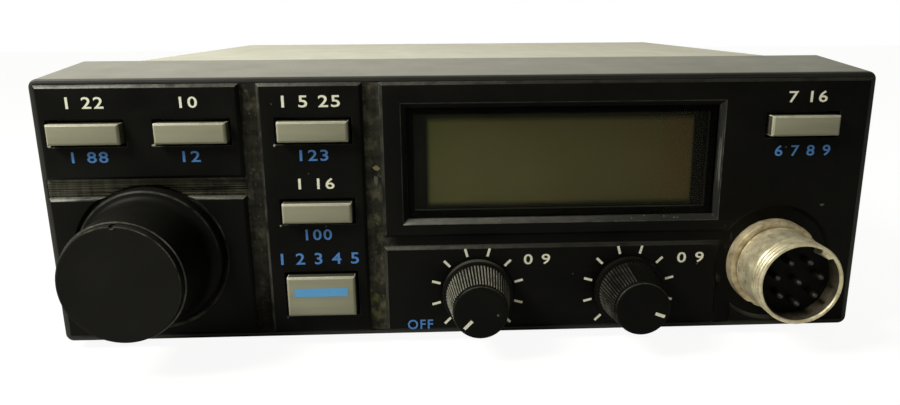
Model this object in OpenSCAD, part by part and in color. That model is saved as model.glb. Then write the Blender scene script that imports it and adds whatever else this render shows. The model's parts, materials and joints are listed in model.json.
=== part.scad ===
// Compact fixed-mount marine radio: moulded front with display, keys, channel dial,
// two small knobs and a microphone socket, on a metal case with a finned rear casting.
// Millimetres. X to the right seen from the front, the front faces -Y, Z up.
// The origin is the middle of the case's underside. Depths run back from the front pads.

/* [Front] */
// Width of the front over the bezel's rim
front_w = 162.8; // [156:0.2:200]
// Height of the front over the bezel's rim
front_h = 53; // [50:0.5:70]
// Depth of the bezel behind the front pads
bezel_d = 27.5; // [27:0.5:40]
// How far each bezel side flares out from front to back
bezel_flare = 1.85; // [0.5:0.05:4]
// How far the bezel's rim stands back from the pads
rim_set = 0.9; // [0.3:0.1:1.5]
// Width of the rim round the panel
rim_w = 1; // [0.8:0.1:3]
// Radius of the rim's rounded edge
rim_r = 0.7; // [0.3:0.1:0.8]
// Corner radius of the bezel's rim
corner_r = 1.6; // [1:0.1:3]
// Corner radius at the bezel's back
back_corner_r = 0.9; // [0.5:0.1:3]
// Width of the ledge that the panel seats on
ledge_w = 0.8; // [0.6:0.1:1]
// Gap between panel and rim
panel_gap = 0.1; // [0.05:0.05:0.3]
// Thickness of the panel from its pads to its back
panel_t = 3.2; // [2.8:0.1:5]
// Depth of the grooves between the pads
groove_d = 1; // [0.5:0.1:1.5]
// Width of the grooves between the pads
groove_w = 3.2; // [1.5:0.1:4]
// Chamfer round the pads
pad_c = 0.6; // [0.2:0.05:0.8]

/* [Panel layout] */
// Left panel edge to the first upright groove
groove1_x = 38; // [36:0.1:44]
// Left panel edge to the second upright groove
groove2_x = 61.2; // [60:0.1:72]
// Panel's top edge to the striped band under the upper left pad
band_top = 18.1; // [15:0.1:20]
// Height of the striped band
band_h = 3.6; // [2:0.1:6]
// Height of the pad that carries the two small knobs
knob_pad_h = 18; // [16:0.1:22]
// Height of the groove above that pad
knob_groove_h = 2; // [1:0.1:3]
// Radius of the round recess about the microphone socket
mic_recess_r = 11.8; // [10.5:0.1:13]

/* [Display] */
// Width of the display recess
display_w = 63.6; // [50:0.2:70]
// Height of the display recess
display_h = 24.2; // [18:0.2:26]
// Left panel edge to the display recess
display_x = 68.3; // [66:0.1:80]
// Panel's top edge to the display recess
display_top = 4; // [2:0.1:6]
// Depth of the recess to the window
display_recess = 1; // [0.8:0.1:1.5]
// Thickness of the clear window
window_t = 1.2; // [0.8:0.1:1.6]
// Width of the ledge behind the window
window_ledge = 1.5; // [1:0.1:3]
// Width of the visible liquid crystal area
lcd_w = 53.8; // [40:0.2:58]
// Height of the visible liquid crystal area
lcd_h = 18.8; // [12:0.2:19]
// Thickness of the liquid crystal glass
lcd_t = 2.2; // [1.5:0.1:3]
// Rim of glass hidden behind the holder
lcd_rim = 2.6; // [2:0.1:4]

/* [Keys] */
// Width of a key
key_w = 13.5; // [8:0.1:14]
// Height of a key
key_h = 4; // [3:0.1:7]
// Height of the tall function key
tall_key_h = 8.2; // [6:0.1:10]
// How far the keys stand out of the pads
key_out = 1.8; // [1:0.1:3]
// Gap round a key in its opening
key_gap = 0.6; // [0.2:0.05:0.65]
// Travel of a key
key_travel = 0.8; // [0.3:0.1:1.2]
// Left panel edge to the middle of the first key
key1_x = 9; // [8:0.1:12]
// Left panel edge to the middle of the second key
key2_x = 28.8; // [25:0.1:29.5]
// Left panel edge to the middle of the middle column of keys
key3_x = 51.7; // [48:0.1:56]
// Right panel edge to the middle of the right key
key6_x = 13.3; // [9:0.1:16]
// Panel's top edge to the middle of the upper keys
key_row = 9.1; // [7:0.1:12]
// Panel's bottom edge to the middle of the lower small key
key4_z = 25.7; // [20:0.1:30]
// Panel's bottom edge to the middle of the tall key
key5_z = 8.5; // [7:0.1:12]

/* [Channel dial] */
// Radius of the dial's body at the front
dial_r = 11.5; // [9:0.05:12]
// Radius of the dial's skirt
dial_skirt_r = 14.1; // [13:0.1:15]
// Radius of the dial's front disc
dial_cap_r = 11.05; // [8:0.05:11.2]
// How far the dial's body stands out of the pads
dial_out = 14.6; // [10:0.1:20]
// Thickness of the front disc
dial_cap_t = 1.5; // [0.8:0.1:2.5]
// Gap round the skirt in its pocket
dial_gap = 0.45; // [0.3:0.05:0.6]
// Depth of the dial's pocket
dial_pocket = 1.8; // [1:0.1:2]
// Left panel edge to the dial's axis
dial_x = 18.6; // [16:0.1:20]
// Panel's bottom edge to the dial's axis
dial_z = 16.9; // [16:0.1:22]

/* [Small knobs] */
// Radius of a knob's flange
knob_r = 7.2; // [6:0.1:7.5]
// Radius of the ribbed body at its back
knob_body_r = 6.5; // [5:0.1:6.8]
// Radius of a knob's front face
knob_front_r = 5.3; // [4.5:0.1:6]
// How far a knob stands out of the pads
knob_out = 11.3; // [8:0.1:16]
// Left panel edge to the volume knob's axis
volume_x = 83.1; // [80:0.1:86]
// Left panel edge to the squelch knob's axis
squelch_x = 114.2; // [104:0.1:118]
// Panel's bottom edge to the knobs' axes
knob_z = 8.2; // [7.4:0.1:9]
// Radius of every control shaft
shaft_r = 3; // [2:0.1:3]
// Running clearance round a shaft
shaft_gap = 0.05; // [0.02:0.01:0.1]
// Radius of a control's threaded bush
bush_r = 3.75; // [3.5:0.05:4]

/* [Microphone socket] */
// Outer radius of the socket's barrel
mic_r = 8.2; // [7:0.1:9]
// Wall of the barrel
mic_wall = 0.8; // [0.6:0.1:1.2]
// How far the barrel stands out of the pads
mic_out = 12.6; // [8:0.1:16]
// Depth of the black insert inside the barrel
mic_depth = 4.1; // [2:0.1:6]
// Radius of the fixing ring at the barrel's root
mic_ring_r = 9.3; // [8.8:0.1:10]
// How far the ring stands out of the pads
mic_ring_out = 1.6; // [0.8:0.1:3]
// Radius of the circle of pins
mic_pin_circle = 4.3; // [3:0.1:5]
// Radius of a pin
mic_pin_r = 0.6; // [0.4:0.05:0.8]
// Number of pins on the circle
mic_pins = 7; // [5:1:8]
// Right panel edge to the socket's axis
mic_x = 16.6; // [15:0.1:20]
// Panel's bottom edge to the socket's axis
mic_z = 13.1; // [12.8:0.1:18]

/* [Case] */
// Width of the case behind the bezel
case_w = 146; // [120:1:150]
// Depth from the front pads to the case's back
case_d = 132; // [120:1:180]
// How far the case's top lies below the bezel's
case_drop = 0.1; // [0:0.1:2]
// Thickness of the sheet covers
cover_t = 1.2; // [0.8:0.1:2]
// Outer bend radius of the covers
bend_r = 2; // [1.5:0.1:4]
// Height of the seam between the two covers
seam_z = 20; // [14:0.5:24]
// Gap at that seam
seam_gap = 0.3; // [0.1:0.1:0.6]
// Wall thickness of the chassis
chassis_t = 2.5; // [2:0.1:4]
// Depth of the bracket holes behind the pads
bracket_y = 70; // [50:1:90]
// Height of the bracket holes
bracket_z = 30; // [28:0.5:36]
// Radius of the bracket holes
bracket_r = 2.5; // [2:0.1:3]

/* [Rear] */
// Depth of the rear casting behind the case
sink_d = 14; // [10:0.5:30]
// Thickness of the casting's base
sink_base = 4; // [3:0.1:6]
// Thickness of a cooling fin
fin_t = 1.8; // [1.2:0.1:3]
// Distance from one fin to the next
fin_pitch = 5; // [4:0.1:8]
// Number of cooling fins
fins = 18; // [8:1:18]
// Radius of the antenna socket's barrel
antenna_r = 7.94; // [7.5:0.01:8]
// Length of the antenna socket's barrel
antenna_l = 16; // [12:0.5:20]
// Radius of the antenna socket's centre hole
antenna_hole_r = 2; // [1.8:0.05:2.2]
// Radius of the loudspeaker jack's hole
jack_r = 1.8; // [1.6:0.05:2]
// Radius of the power lead's hole in its grommet
lead_r = 3.2; // [2:0.1:3.5]

/* [Inside] */
// Thickness of the circuit boards
board_t = 1.6; // [1:0.1:2.4]
// Depth of the front board behind the pads
front_board_y = 12.5; // [12.5:0.1:14]
// Height of the main board's underside
main_board_z = 24; // [22:0.5:28]
// Radius of the loudspeaker
speaker_r = 28; // [20:0.5:33]

/* [Hidden] */

$fn = 64;
hull_fn = 32;
eps = 0.01;
over = 1;

// Heights and edges of the front
bezel_h = front_h + 2 * bezel_flare;
mid_z = bezel_h / 2;
case_h = bezel_h - case_drop;
face_y = -case_d / 2;
panel_w = front_w - 2 * (rim_w + panel_gap);
panel_h = front_h - 2 * (rim_w + panel_gap);
p_left = -panel_w / 2;
p_right = panel_w / 2;
p_bottom = mid_z - panel_h / 2;
p_top = mid_z + panel_h / 2;

// Columns and rows of the panel. The socket's recess cuts a little into the knobs' pad
recess_overlap = 0.6;
band_edge = 0.4;
ridges = 6;
ridge_h = 0.12;
ridge_share = 0.55;
pad_root = 0.5;
g1 = p_left + groove1_x;
g2 = p_left + groove2_x;
band_z = p_top - band_top;
knob_pad_top = p_bottom + knob_pad_h;
mic_at = [p_right - mic_x, p_bottom + mic_z];
knob_pad_right = mic_at[0] - mic_recess_r + recess_overlap;
right_pad_left = knob_pad_right + groove_w;
dial_at = [p_left + dial_x, p_bottom + dial_z];
volume_at = [p_left + volume_x, p_bottom + knob_z];
squelch_at = [p_left + squelch_x, p_bottom + knob_z];
display_at = [p_left + display_x + display_w / 2, p_top - display_top - display_h / 2];

// Each key as [x, z, height]
dial_key_at = [p_left + key1_x, p_top - key_row, key_h];
memory_key_at = [p_left + key2_x, p_top - key_row, key_h];
power_key_at = [p_left + key3_x, p_top - key_row, key_h];
watch_key_at = [p_left + key3_x, p_bottom + key4_z, key_h];
function_key_at = [p_left + key3_x, p_bottom + key5_z, tall_key_h];
call_key_at = [p_right - key6_x, p_top - key_row, key_h];
keys = [dial_key_at, memory_key_at, power_key_at, watch_key_at, function_key_at, call_key_at];

// Key stack behind the panel
key_c = 0.35;
key_flange_t = 1;
key_flange_gap = 0.2;
key_flange_z = 0.8;
key_flange_y = panel_t + key_flange_gap;
key_stem_w = 4;
key_stem_h = 3;
switch_t = 3.5;
switch_w = 6.2;
switch_y = front_board_y - switch_t;
plunger_r = 1.7;
plunger_gap = 0.05;
plunger_l = 0.6;
plunger_y = switch_y - key_travel - plunger_l;
plunger_in = 1.2;
plunger_spare = 0.3;

// Window and liquid crystal stack
bevel_w = display_recess;
window_w = display_w - 2 * bevel_w;
window_h = display_h - 2 * bevel_w;
window_gap = 0.15;
holder_back_gap = 0.2;
holder_y = panel_t + holder_back_gap;
holder_lip = 0.6;
lcd_y = holder_y + holder_lip;
glass_w = lcd_w + 2 * lcd_rim;
glass_h = lcd_h + 2 * lcd_rim;
holder_wall = 1.5;
holder_gap = 0.2;
strip_h = 1.8;
strip_end = 2;
guide_gap = 0.5;
guide_end = 1;
lamp_r = 1.4;
lamp_gap = 0.5;
guide_t = front_board_y - 2 * lamp_r - lamp_gap - lcd_y - lcd_t;
lamp_l = 6;
lamp_x = 15;

// Controls
bush_y = 5;
bush_gap = 0.5;
bush_board_gap = 0.1;
shaft_end_gap = 0.4;
nut_r = 5.8;
nut_t = 2.4;
pot_w = 12.4;
pot_d = 7.4;
encoder_d = 8.4;
back_y = front_board_y + board_t;
shaft_tail = 6;
shaft_end = back_y + shaft_tail;
press_gap = 0.02;
knob_lift = 0.6;
knob_flange_t = 1.4;
knob_face_c = 0.4;
knob_socket = 2.5;
dial_lift = 0.5;
dial_skirt_t = 3;
dial_fillet = 2;
dial_c = 0.4;
dial_socket = 3;
dial_waist = 0.45;
skirt_back_c = 0.3;
skirt_front_c = 0.6;
knob_edge_c = 0.3;

// Microphone socket
mic_bore_r = mic_r - mic_wall;
mic_relief = 0.2;
mic_root_r = mic_r - mic_relief;
mic_fit = 0.1;
mic_flange_r = 9.4;
mic_flange_t = 1.5;
mic_tail = 9;
mic_groove_y = [1.2, 2.1, 3];
mic_groove_r = 0.22;
mic_key_w = 1.8;
mic_key_h = 1;
mic_key_angle = 38;
mic_key_set = 0.4;
mic_ring_c = 0.4;
pin_set = 0.7;
pin_tip = 0.4;
pin_tip_c = 0.3;
pin_tail = 1;

// Case
bezel_inset = 1.5;
flange_back = bezel_d - bezel_inset;
flange_t = 2.5;
flange_y = flange_back - flange_t;
cover_y = bezel_d + seam_gap;
flange_gap = 0.2;
step_w = 1.5;
gasket_t = 1.5;
gasket_y = flange_y - gasket_t;
gasket_w = 2.4;
window_side = 4;
window_z = 9;
cavity_w = panel_w + 2 * panel_gap - 2 * ledge_w;
cavity_h = panel_h + 2 * panel_gap - 2 * ledge_w;
seat_w = cavity_w + 2 * step_w;
seat_h = cavity_h + 2 * step_w;
flange_w = seat_w - 2 * flange_gap;
flange_h = seat_h - 2 * flange_gap;
wall_x = case_w / 2 - cover_t;
wall_in = wall_x - chassis_t;
floor_z = cover_t;
roof_z = case_h - cover_t;
rear_wall_y = case_d - chassis_t;

// Fasteners: M3 screws throughout
screw_r = 1.5;
screw_head_r = 2.8;
screw_head_t = 1.6;
screw_slot = 0.6;
slot_share = 0.75;
screw_gap = 0.2;
bezel_screw_l = 8;
bezel_pilot_cap = 1;
bezel_screw_in = 3.6;
bezel_screw_x = cavity_w / 2 - bezel_screw_in;
bezel_screw_edge = 6;
bezel_screw_zs = [p_bottom + bezel_screw_edge, p_top - bezel_screw_edge];
bezel_boss_r = 3;
bezel_boss_gap = 1;
bezel_boss_y = back_y + bezel_boss_gap;
bezel_web_inset = 0.5;
bezel_web_w = 4.4;
cover_screw_front = 18;
cover_screw_back = 16;
cover_screw_low = 8;
cover_screw_top = 10;
cover_screw_ys = [cover_y + cover_screw_front, case_d - cover_screw_back];
cover_screw_zs = [cover_screw_low, case_h - cover_screw_top];
cover_screw_in = 2;
cover_screw_l = cover_t + chassis_t + cover_screw_in;
insert_r = 4;
insert_l = 8;
insert_gap = 0.1;
insert_boss = 2;
insert_end_gap = 1;
insert_board_gap = 3;

// Boards
board_margin = 3.4;
front_board_w = cavity_w - 2 * board_margin;
board_edge = 0.8;
front_board_h = cavity_h - 2 * board_edge;
post_r = 2.4;
post_xs = [p_left + groove1_x + groove_w / 2, right_pad_left];
post_edge = 3.9;
post_pilot = 6;
post_screw_l = 4;
post_zs = [p_bottom + post_edge, p_top - post_edge];
main_side = 0.8;
main_front = 5;
main_back = 3;
main_w = 2 * (wall_in - main_side);
main_y0 = cover_y + main_front;
main_y1 = rear_wall_y - main_back;
board_block = 8;
board_block_h = 6;
board_pilot = 5;
board_screw_l = 4.5;
board_block_front = 6;
board_block_back = 8;
board_block_ys = [main_y0 + board_block_front, main_y1 - board_block_back];
board_z1 = main_board_z + board_t;
module_x0 = -50;
module_w = 60;
module_d = 9.5;
module_h = 13;
can_xs = [-46, 10];
can_ws = [38, 40];
can_d = 30;
can_h = 12;
can_t = 0.5;
can_front = 8;
can_y = main_y0 + can_front;
capacitor_xs = [20, 32, 44];
capacitor_r = 4.5;
capacitor_h = 16;
capacitor_back = 20;
ribbon_side = 13;
ribbon_x = ribbon_side - case_w / 2;
ribbon_w = 30;
ribbon_t = 0.9;
ribbon_up = 6;
ribbon_front = 3;
ribbon_z = mid_z + ribbon_up;
ribbon_y = main_y0 + ribbon_front;

// Rear
sink_side = 4;
sink_edge = 3;
sink_w = case_w - 2 * sink_side;
sink_h = case_h - 2 * sink_edge;
sink_y = case_d;
sink_face = sink_y + sink_base;
fin_x0 = -sink_w / 2;
bay_right = 20;
bay_x = sink_w / 2 - bay_right;
bay_left = 18;
head_gap = 0.6;
sink_screw_z = 18;
sink_screw_left = 8.2;
sink_screw_bay = 15.5;
antenna_right = 3;
antenna_up = 6;
antenna_at = [bay_x + antenna_right, mid_z + antenna_up];
antenna_flange = 25.4;
antenna_flange_t = 2;
antenna_screw = 9.05;
antenna_wall = 1.5;
antenna_hole_gap = 1;
antenna_seat_gap = 0.2;
antenna_contact_tail = 1.5;
antenna_contact_bore = 12;
antenna_screw_gap = 0.1;
antenna_relief = 0.3;
antenna_root_r = antenna_r - antenna_relief;
antenna_root_y = 0.5;
antenna_pilot = 3;
antenna_screw_l = 4;
sink_screw_l = 6;
insulator_in = 4;
contact_r = 3;
contact_in = 3;
low_z = 9.5;
jack_right = 10;
jack_at = [bay_x + jack_right, low_z];
jack_body_r = 4;
jack_nut_r = 5.6;
jack_l = 14;
jack_gap = 0.1;
jack_out = 2.5;
jack_nut_t = 2;
jack_step = 1.5;
jack_end = 1.5;
jack_neck = 3;
lead_left = 6;
lead_at = [bay_x - lead_left, low_z];
grommet_gap = 0.1;
grommet_r = 5;
grommet_flange_r = 6.3;
grommet_flange_t = 1.8;
speaker_share = 0.56;
speaker_y = case_d * speaker_share;
speaker_ring = 2;
speaker_h = 9.5;
speaker_sheet = 1;
speaker_rim = 3;
seat_lip = 2;
seat_wall = 0.5;
cone_t = 0.5;
cone_z = 0.4;
cone_sheet = 0.6;
cone_edge_z = 0.6;
cone_surround = 6;
cone_neck_r = 7;
dome_r = 5;
cone_neck_z = 5.6;
dome_edge_z = 4.6;
dome_z = 5.9;
magnet_r = 13;
magnet_t = 7;
slots = 9;
slot_w = 2.4;
slot_pitch = 5;
slot_edge = 4;

// A block between two corners, with y counted back from the pads
module block(x0, x1, y0, y1, z0, z1) {
    translate([x0, face_y + y0, z0])
        cube([x1 - x0, y1 - y0, z1 - z0]);
}

// A block centred on [x, z]
module plate(at, w, h, y0, y1) {
    block(at[0] - w / 2, at[0] + w / 2, y0, y1, at[1] - h / 2, at[1] + h / 2);
}

// A rod along the depth, from y0 to y1 behind the pads
module rod(at, y0, y1, r, r_end = -1) {
    translate([at[0], face_y + y0, at[1]])
        rotate([-90, 0, 0])
            cylinder(h = y1 - y0, r1 = r, r2 = r_end < 0 ? r : r_end);
}

// A rod across the width
module cross_rod(x0, x1, y, z, r) {
    translate([x0, face_y + y, z])
        rotate([0, 90, 0])
            cylinder(h = x1 - x0, r = r);
}

// A turned shape about an axis along the depth: points are [radius, depth]
module turned(at, points) {
    translate([at[0], face_y, at[1]])
        rotate([-90, 0, 0])
            rotate_extrude()
                polygon(points);
}

// A block whose front edges have a chamfer c
module chamfered(x0, x1, z0, z1, y0, y1, c) {
    intersection() {
        translate([x0, face_y, 0])
            rotate([90, 0, 90])
                linear_extrude(x1 - x0)
                    polygon([[y0, z0 + c], [y0, z1 - c], [y0 + c, z1],
                             [y1, z1], [y1, z0], [y0 + c, z0]]);
        translate([0, face_y, z0])
            linear_extrude(z1 - z0)
                polygon([[x0 + c, y0], [x1 - c, y0], [x1, y0 + c],
                         [x1, y1], [x0, y1], [x0, y0 + c]]);
    }
}

// A round-cornered outline drawn in [x, z]
module round_outline(w, h, r) {
    square([w - 2 * r, h], center = true);
    square([w, h - 2 * r], center = true);
    for (sx = [-1, 1])
        for (sz = [-1, 1])
            translate([sx * (w / 2 - r), sz * (h / 2 - r)])
                circle(r);
}

// A pan-head screw along the depth: its head's face is at y, its point runs towards s
module depth_screw(at, y, len, s) {
    difference() {
        union() {
            rod(at, min(y, y - s * screw_head_t), max(y, y - s * screw_head_t), screw_head_r);
            rod(at, min(y, y + s * len), max(y, y + s * len), screw_r);
        }
        plate(at, 2 * screw_head_r * slot_share, screw_slot,
              y - s * screw_head_t - (s > 0 ? over : screw_slot),
              y - s * screw_head_t + (s > 0 ? screw_slot : over));
    }
}

// ---------------------------------------------------------------- front mouldings

// Solid outer form of the bezel: a rounded rim, then sides that flare out to the back
module bezel_form() {
    hull() {
        for (a = [0 : 30 : 90])
            bezel_section(rim_set + rim_r * (1 - cos(a)), -rim_r * (1 - sin(a)),
                          corner_r - rim_r * (1 - sin(a)));
        bezel_section(bezel_d - eps, bezel_flare, back_corner_r);
    }
}

// A thin slice of that form at depth y, grown beyond the front's size, with corners of radius r
module bezel_section(y, grow, r) {
    w = front_w / 2 + grow;
    h = front_h / 2 + grow;
    for (sx = [-1, 1])
        for (sz = [-1, 1])
            translate([sx * (w - r), face_y + y, mid_z + sz * (h - r)])
                rotate([-90, 0, 0])
                    cylinder(h = eps, r = r, $fn = hull_fn);
}

module front_bezel() {
    color("dimgray")
    difference() {
        union() {
            difference() {
                bezel_form();
                plate([0, mid_z], panel_w + 2 * panel_gap, panel_h + 2 * panel_gap, -over, panel_t);
                plate([0, mid_z], cavity_w, cavity_h, panel_t - eps, gasket_y + eps);
                plate([0, mid_z], seat_w, seat_h, gasket_y, bezel_d + over);
            }
            for (s = [-1, 1])
                for (z = bezel_screw_zs) {
                    rod([s * bezel_screw_x, z], bezel_boss_y, gasket_y, bezel_boss_r);
                    plate([s * (bezel_screw_x + bezel_web_w / 2), z], bezel_web_w,
                          2 * (bezel_boss_r - bezel_web_inset), bezel_boss_y, gasket_y);
                }
        }
        for (s = [-1, 1])
            for (z = bezel_screw_zs)
                rod([s * bezel_screw_x, z], bezel_boss_y + bezel_pilot_cap, gasket_y + over, screw_r);
    }
}

module pad(x0, x1, z0, z1) {
    chamfered(x0, x1, z0, z1, 0, groove_d + pad_root, pad_c);
}

// The raised pads, with grooves between them
module pads() {
    pad(p_left, g1, band_z, p_top);
    pad(p_left, g1, p_bottom, band_z - band_h);
    pad(g1 + groove_w, g2, p_bottom, p_top);
    difference() {
        union() {
            pad(g2 + groove_w, p_right, knob_pad_top + knob_groove_h, p_top);
            pad(g2 + groove_w, knob_pad_right, p_bottom, knob_pad_top);
            block(right_pad_left, p_right - pad_c, 0, groove_d + pad_root,
                  p_bottom + pad_c, knob_pad_top + knob_groove_h + pad_c);
            chamfered(right_pad_left, p_right, p_bottom, p_top, 0, groove_d + pad_root, pad_c);
        }
        rod(mic_at, -over, groove_d, mic_recess_r);
        rod(mic_at, -eps, pad_c, mic_recess_r + pad_c, mic_recess_r);
        block(g2, right_pad_left, -over, groove_d, knob_pad_top, knob_pad_top + knob_groove_h);
    }
}

// Sloping sides of the display recess
module display_bevel() {
    x0 = display_at[0] - display_w / 2;
    x1 = display_at[0] + display_w / 2;
    z0 = display_at[1] - display_h / 2;
    z1 = display_at[1] + display_h / 2;
    b = bevel_w;
    intersection() {
        translate([x0, face_y, 0])
            rotate([90, 0, 90])
                linear_extrude(x1 - x0)
                    polygon([[-eps, z0 - eps], [-eps, z1 + eps],
                             [display_recess, z1 - b], [display_recess, z0 + b]]);
        translate([0, face_y, z0 - over])
            linear_extrude(z1 - z0 + 2 * over)
                polygon([[x0 - eps, -eps], [x1 + eps, -eps],
                         [x1 - b, display_recess], [x0 + b, display_recess]]);
    }
}

// Fine ridges along the striped band
module band_ridges() {
    pitch = (band_h - 2 * band_edge) / ridges;
    z0 = band_z - band_h + band_edge;
    for (i = [0 : ridges - 1])
        block(p_left, g1, groove_d - ridge_h, groove_d + eps,
              z0 + i * pitch, z0 + (i + ridge_share) * pitch);
}

module front_panel() {
    color([0.07, 0.07, 0.065])
    difference() {
        union() {
            plate([0, mid_z], panel_w, panel_h, groove_d, panel_t);
            pads();
            band_ridges();
            for (x = post_xs)
                for (z = post_zs)
                    rod([x, z], panel_t - eps, front_board_y, post_r);
        }
        for (k = keys)
            plate(k, key_w + 2 * key_gap, k[2] + 2 * key_gap, -over, panel_t + over);
        display_bevel();
        plate(display_at, window_w, window_h, display_recess - eps, display_recess + window_t);
        plate(display_at, window_w - 2 * window_ledge, window_h - 2 * window_ledge,
              display_recess, panel_t + over);
        rod(dial_at, -over, dial_pocket, dial_skirt_r + dial_gap);
        rod(dial_at, -eps, pad_c, dial_skirt_r + dial_gap + pad_c, dial_skirt_r + dial_gap);
        for (at = [dial_at, volume_at, squelch_at])
            rod(at, -over, panel_t + over, bush_r + bush_gap);
        rod(mic_at, -over, panel_t + over, mic_root_r + mic_fit);
        for (x = post_xs)
            for (z = post_zs)
                rod([x, z], front_board_y - post_pilot, front_board_y + over, screw_r);
    }
}

module bezel_gasket() {
    color([0.1, 0.1, 0.1])
    difference() {
        plate([0, mid_z], flange_w, flange_h, gasket_y, flange_y);
        plate([0, mid_z], flange_w - 2 * gasket_w, flange_h - 2 * gasket_w,
              gasket_y - over, flange_y + over);
    }
}

module bezel_screws() {
    color("silver")
    for (s = [-1, 1])
        for (z = bezel_screw_zs)
            depth_screw([s * bezel_screw_x, z], flange_back, bezel_screw_l, -1);
}

// ---------------------------------------------------------------- display

module display_window() {
    color([0.35, 0.36, 0.3, 0.4])
    plate(display_at, window_w - 2 * window_gap, window_h - 2 * window_gap,
          display_recess + eps, display_recess + window_t);
}

module lcd_holder() {
    color([0.08, 0.08, 0.08])
    difference() {
        plate(display_at, glass_w + 2 * (holder_gap + holder_wall),
              glass_h + 2 * (holder_gap + holder_wall), holder_y, front_board_y);
        plate(display_at, lcd_w, lcd_h, holder_y - over, lcd_y + over);
        plate(display_at, glass_w + 2 * holder_gap, glass_h + 2 * holder_gap,
              lcd_y, front_board_y + over);
    }
}

module lcd_glass() {
    color([0.26, 0.27, 0.15])
    plate(display_at, glass_w, glass_h, lcd_y, lcd_y + lcd_t);
}

module lcd_contact_strips() {
    color([0.75, 0.75, 0.72])
    for (s = [-1, 1])
        plate([display_at[0], display_at[1] + s * (glass_h - strip_h) / 2],
              glass_w - 2 * strip_end, strip_h, lcd_y + lcd_t, front_board_y);
}

module backlight_guide() {
    color([0.85, 0.88, 0.8])
    plate(display_at, glass_w - 2 * guide_end, glass_h - 2 * (strip_h + guide_gap),
          lcd_y + lcd_t, lcd_y + lcd_t + guide_t);
}

module backlight_lamps() {
    color([0.9, 0.85, 0.6])
    for (s = [-1, 1])
        cross_rod(display_at[0] + s * lamp_x - lamp_l / 2, display_at[0] + s * lamp_x + lamp_l / 2,
                  front_board_y - lamp_r, display_at[1], lamp_r);
}

// ---------------------------------------------------------------- front board and keys

module front_board() {
    color([0.13, 0.33, 0.2])
    difference() {
        plate([0, mid_z], front_board_w, front_board_h, front_board_y, back_y);
        for (at = [dial_at, volume_at, squelch_at])
            rod(at, front_board_y - over, back_y + over, bush_r + bush_board_gap);
        for (x = post_xs)
            for (z = post_zs)
                rod([x, z], front_board_y - over, back_y + over, screw_r + screw_gap);
    }
}

module key_switches() {
    color([0.15, 0.15, 0.16])
    for (k = keys)
        difference() {
            plate(k, switch_w, switch_w, switch_y, front_board_y);
            rod(k, switch_y - over, switch_y + plunger_in + key_travel + plunger_spare,
                plunger_r + plunger_gap);
        }
}

// A key: cap with chamfered front, a flange behind the panel and a stem to its switch
module key(k) {
    color([0.6, 0.59, 0.52])
    union() {
        chamfered(k[0] - key_w / 2, k[0] + key_w / 2, k[1] - k[2] / 2, k[1] + k[2] / 2,
                  -key_out, key_flange_y + eps, key_c);
        plate(k, key_w, k[2] + 2 * (key_gap + key_flange_z), key_flange_y,
              key_flange_y + key_flange_t);
        plate(k, key_stem_w, key_stem_h, key_flange_y, plunger_y);
    }
}

module plunger(k) {
    color([0.85, 0.8, 0.7])
    rod(k, plunger_y, switch_y + plunger_in, plunger_r);
}

module dial_key() { key(dial_key_at); }
module memory_key() { key(memory_key_at); }
module power_key() { key(power_key_at); }
module watch_key() { key(watch_key_at); }
module function_key() { key(function_key_at); }
module call_key() { key(call_key_at); }
module dial_plunger() { plunger(dial_key_at); }
module memory_plunger() { plunger(memory_key_at); }
module power_plunger() { plunger(power_key_at); }
module watch_plunger() { plunger(watch_key_at); }
module function_plunger() { plunger(function_key_at); }
module call_plunger() { plunger(call_key_at); }

// ---------------------------------------------------------------- rotary controls

// Channel dial: skirt in its pocket, a waist and a long plain body
module channel_knob() {
    y0 = dial_pocket - dial_lift;
    y1 = y0 - dial_skirt_t;
    waist = dial_r + dial_waist;
    color([0.09, 0.09, 0.085])
    difference() {
        turned(dial_at, concat(
            [[0, y0], [dial_skirt_r - skirt_back_c, y0], [dial_skirt_r, y0 - skirt_back_c]],
            [[dial_skirt_r, y1 + skirt_front_c], [dial_skirt_r - skirt_front_c, y1]],
            [for (a = [0 : 15 : 90])
                [waist + dial_fillet * (1 - sin(a)), y1 - dial_fillet * (1 - cos(a))]],
            [[dial_r, -dial_out + dial_c], [dial_r - dial_c, -dial_out], [0, -dial_out]]));
        rod(dial_at, -dial_out + dial_socket, y0 + over, shaft_r + press_gap);
    }
}

module channel_knob_cap() {
    y1 = -dial_out - dial_cap_t;
    color([0.11, 0.11, 0.1])
    turned(dial_at, [[0, -dial_out], [dial_cap_r, -dial_out], [dial_cap_r, y1 + dial_c],
                     [dial_cap_r - dial_c, y1], [0, y1]]);
}

module control_shaft(at, y0) {
    color("silver")
    rod(at, y0, shaft_end, shaft_r);
}

module channel_shaft() { control_shaft(dial_at, -dial_out + dial_socket); }
module volume_shaft() { control_shaft(volume_at, -knob_out + knob_socket); }
module squelch_shaft() { control_shaft(squelch_at, -knob_out + knob_socket); }

// A rotary control: a body behind the front board and a threaded bush through it
module control(at, w, d) {
    difference() {
        union() {
            plate(at, w, w, back_y, back_y + d);
            rod(at, bush_y, back_y + eps, bush_r);
        }
        rod(at, bush_y - over, shaft_end + shaft_end_gap, shaft_r + shaft_gap);
    }
}

module channel_encoder() {
    color([0.45, 0.46, 0.48])
    control(dial_at, pot_w, encoder_d);
}

module volume_pot() {
    color([0.45, 0.46, 0.48])
    control(volume_at, pot_w, pot_d);
}

module squelch_pot() {
    color([0.45, 0.46, 0.48])
    control(squelch_at, pot_w, pot_d);
}

module shaft_nuts() {
    color("silver")
    for (at = [dial_at, volume_at, squelch_at])
        difference() {
            translate([at[0], face_y + front_board_y - nut_t, at[1]])
                rotate([-90, 0, 0])
                    cylinder(h = nut_t, r = nut_r, $fn = 6);
            rod(at, front_board_y - nut_t - over, front_board_y + over, bush_r);
        }
}

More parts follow.
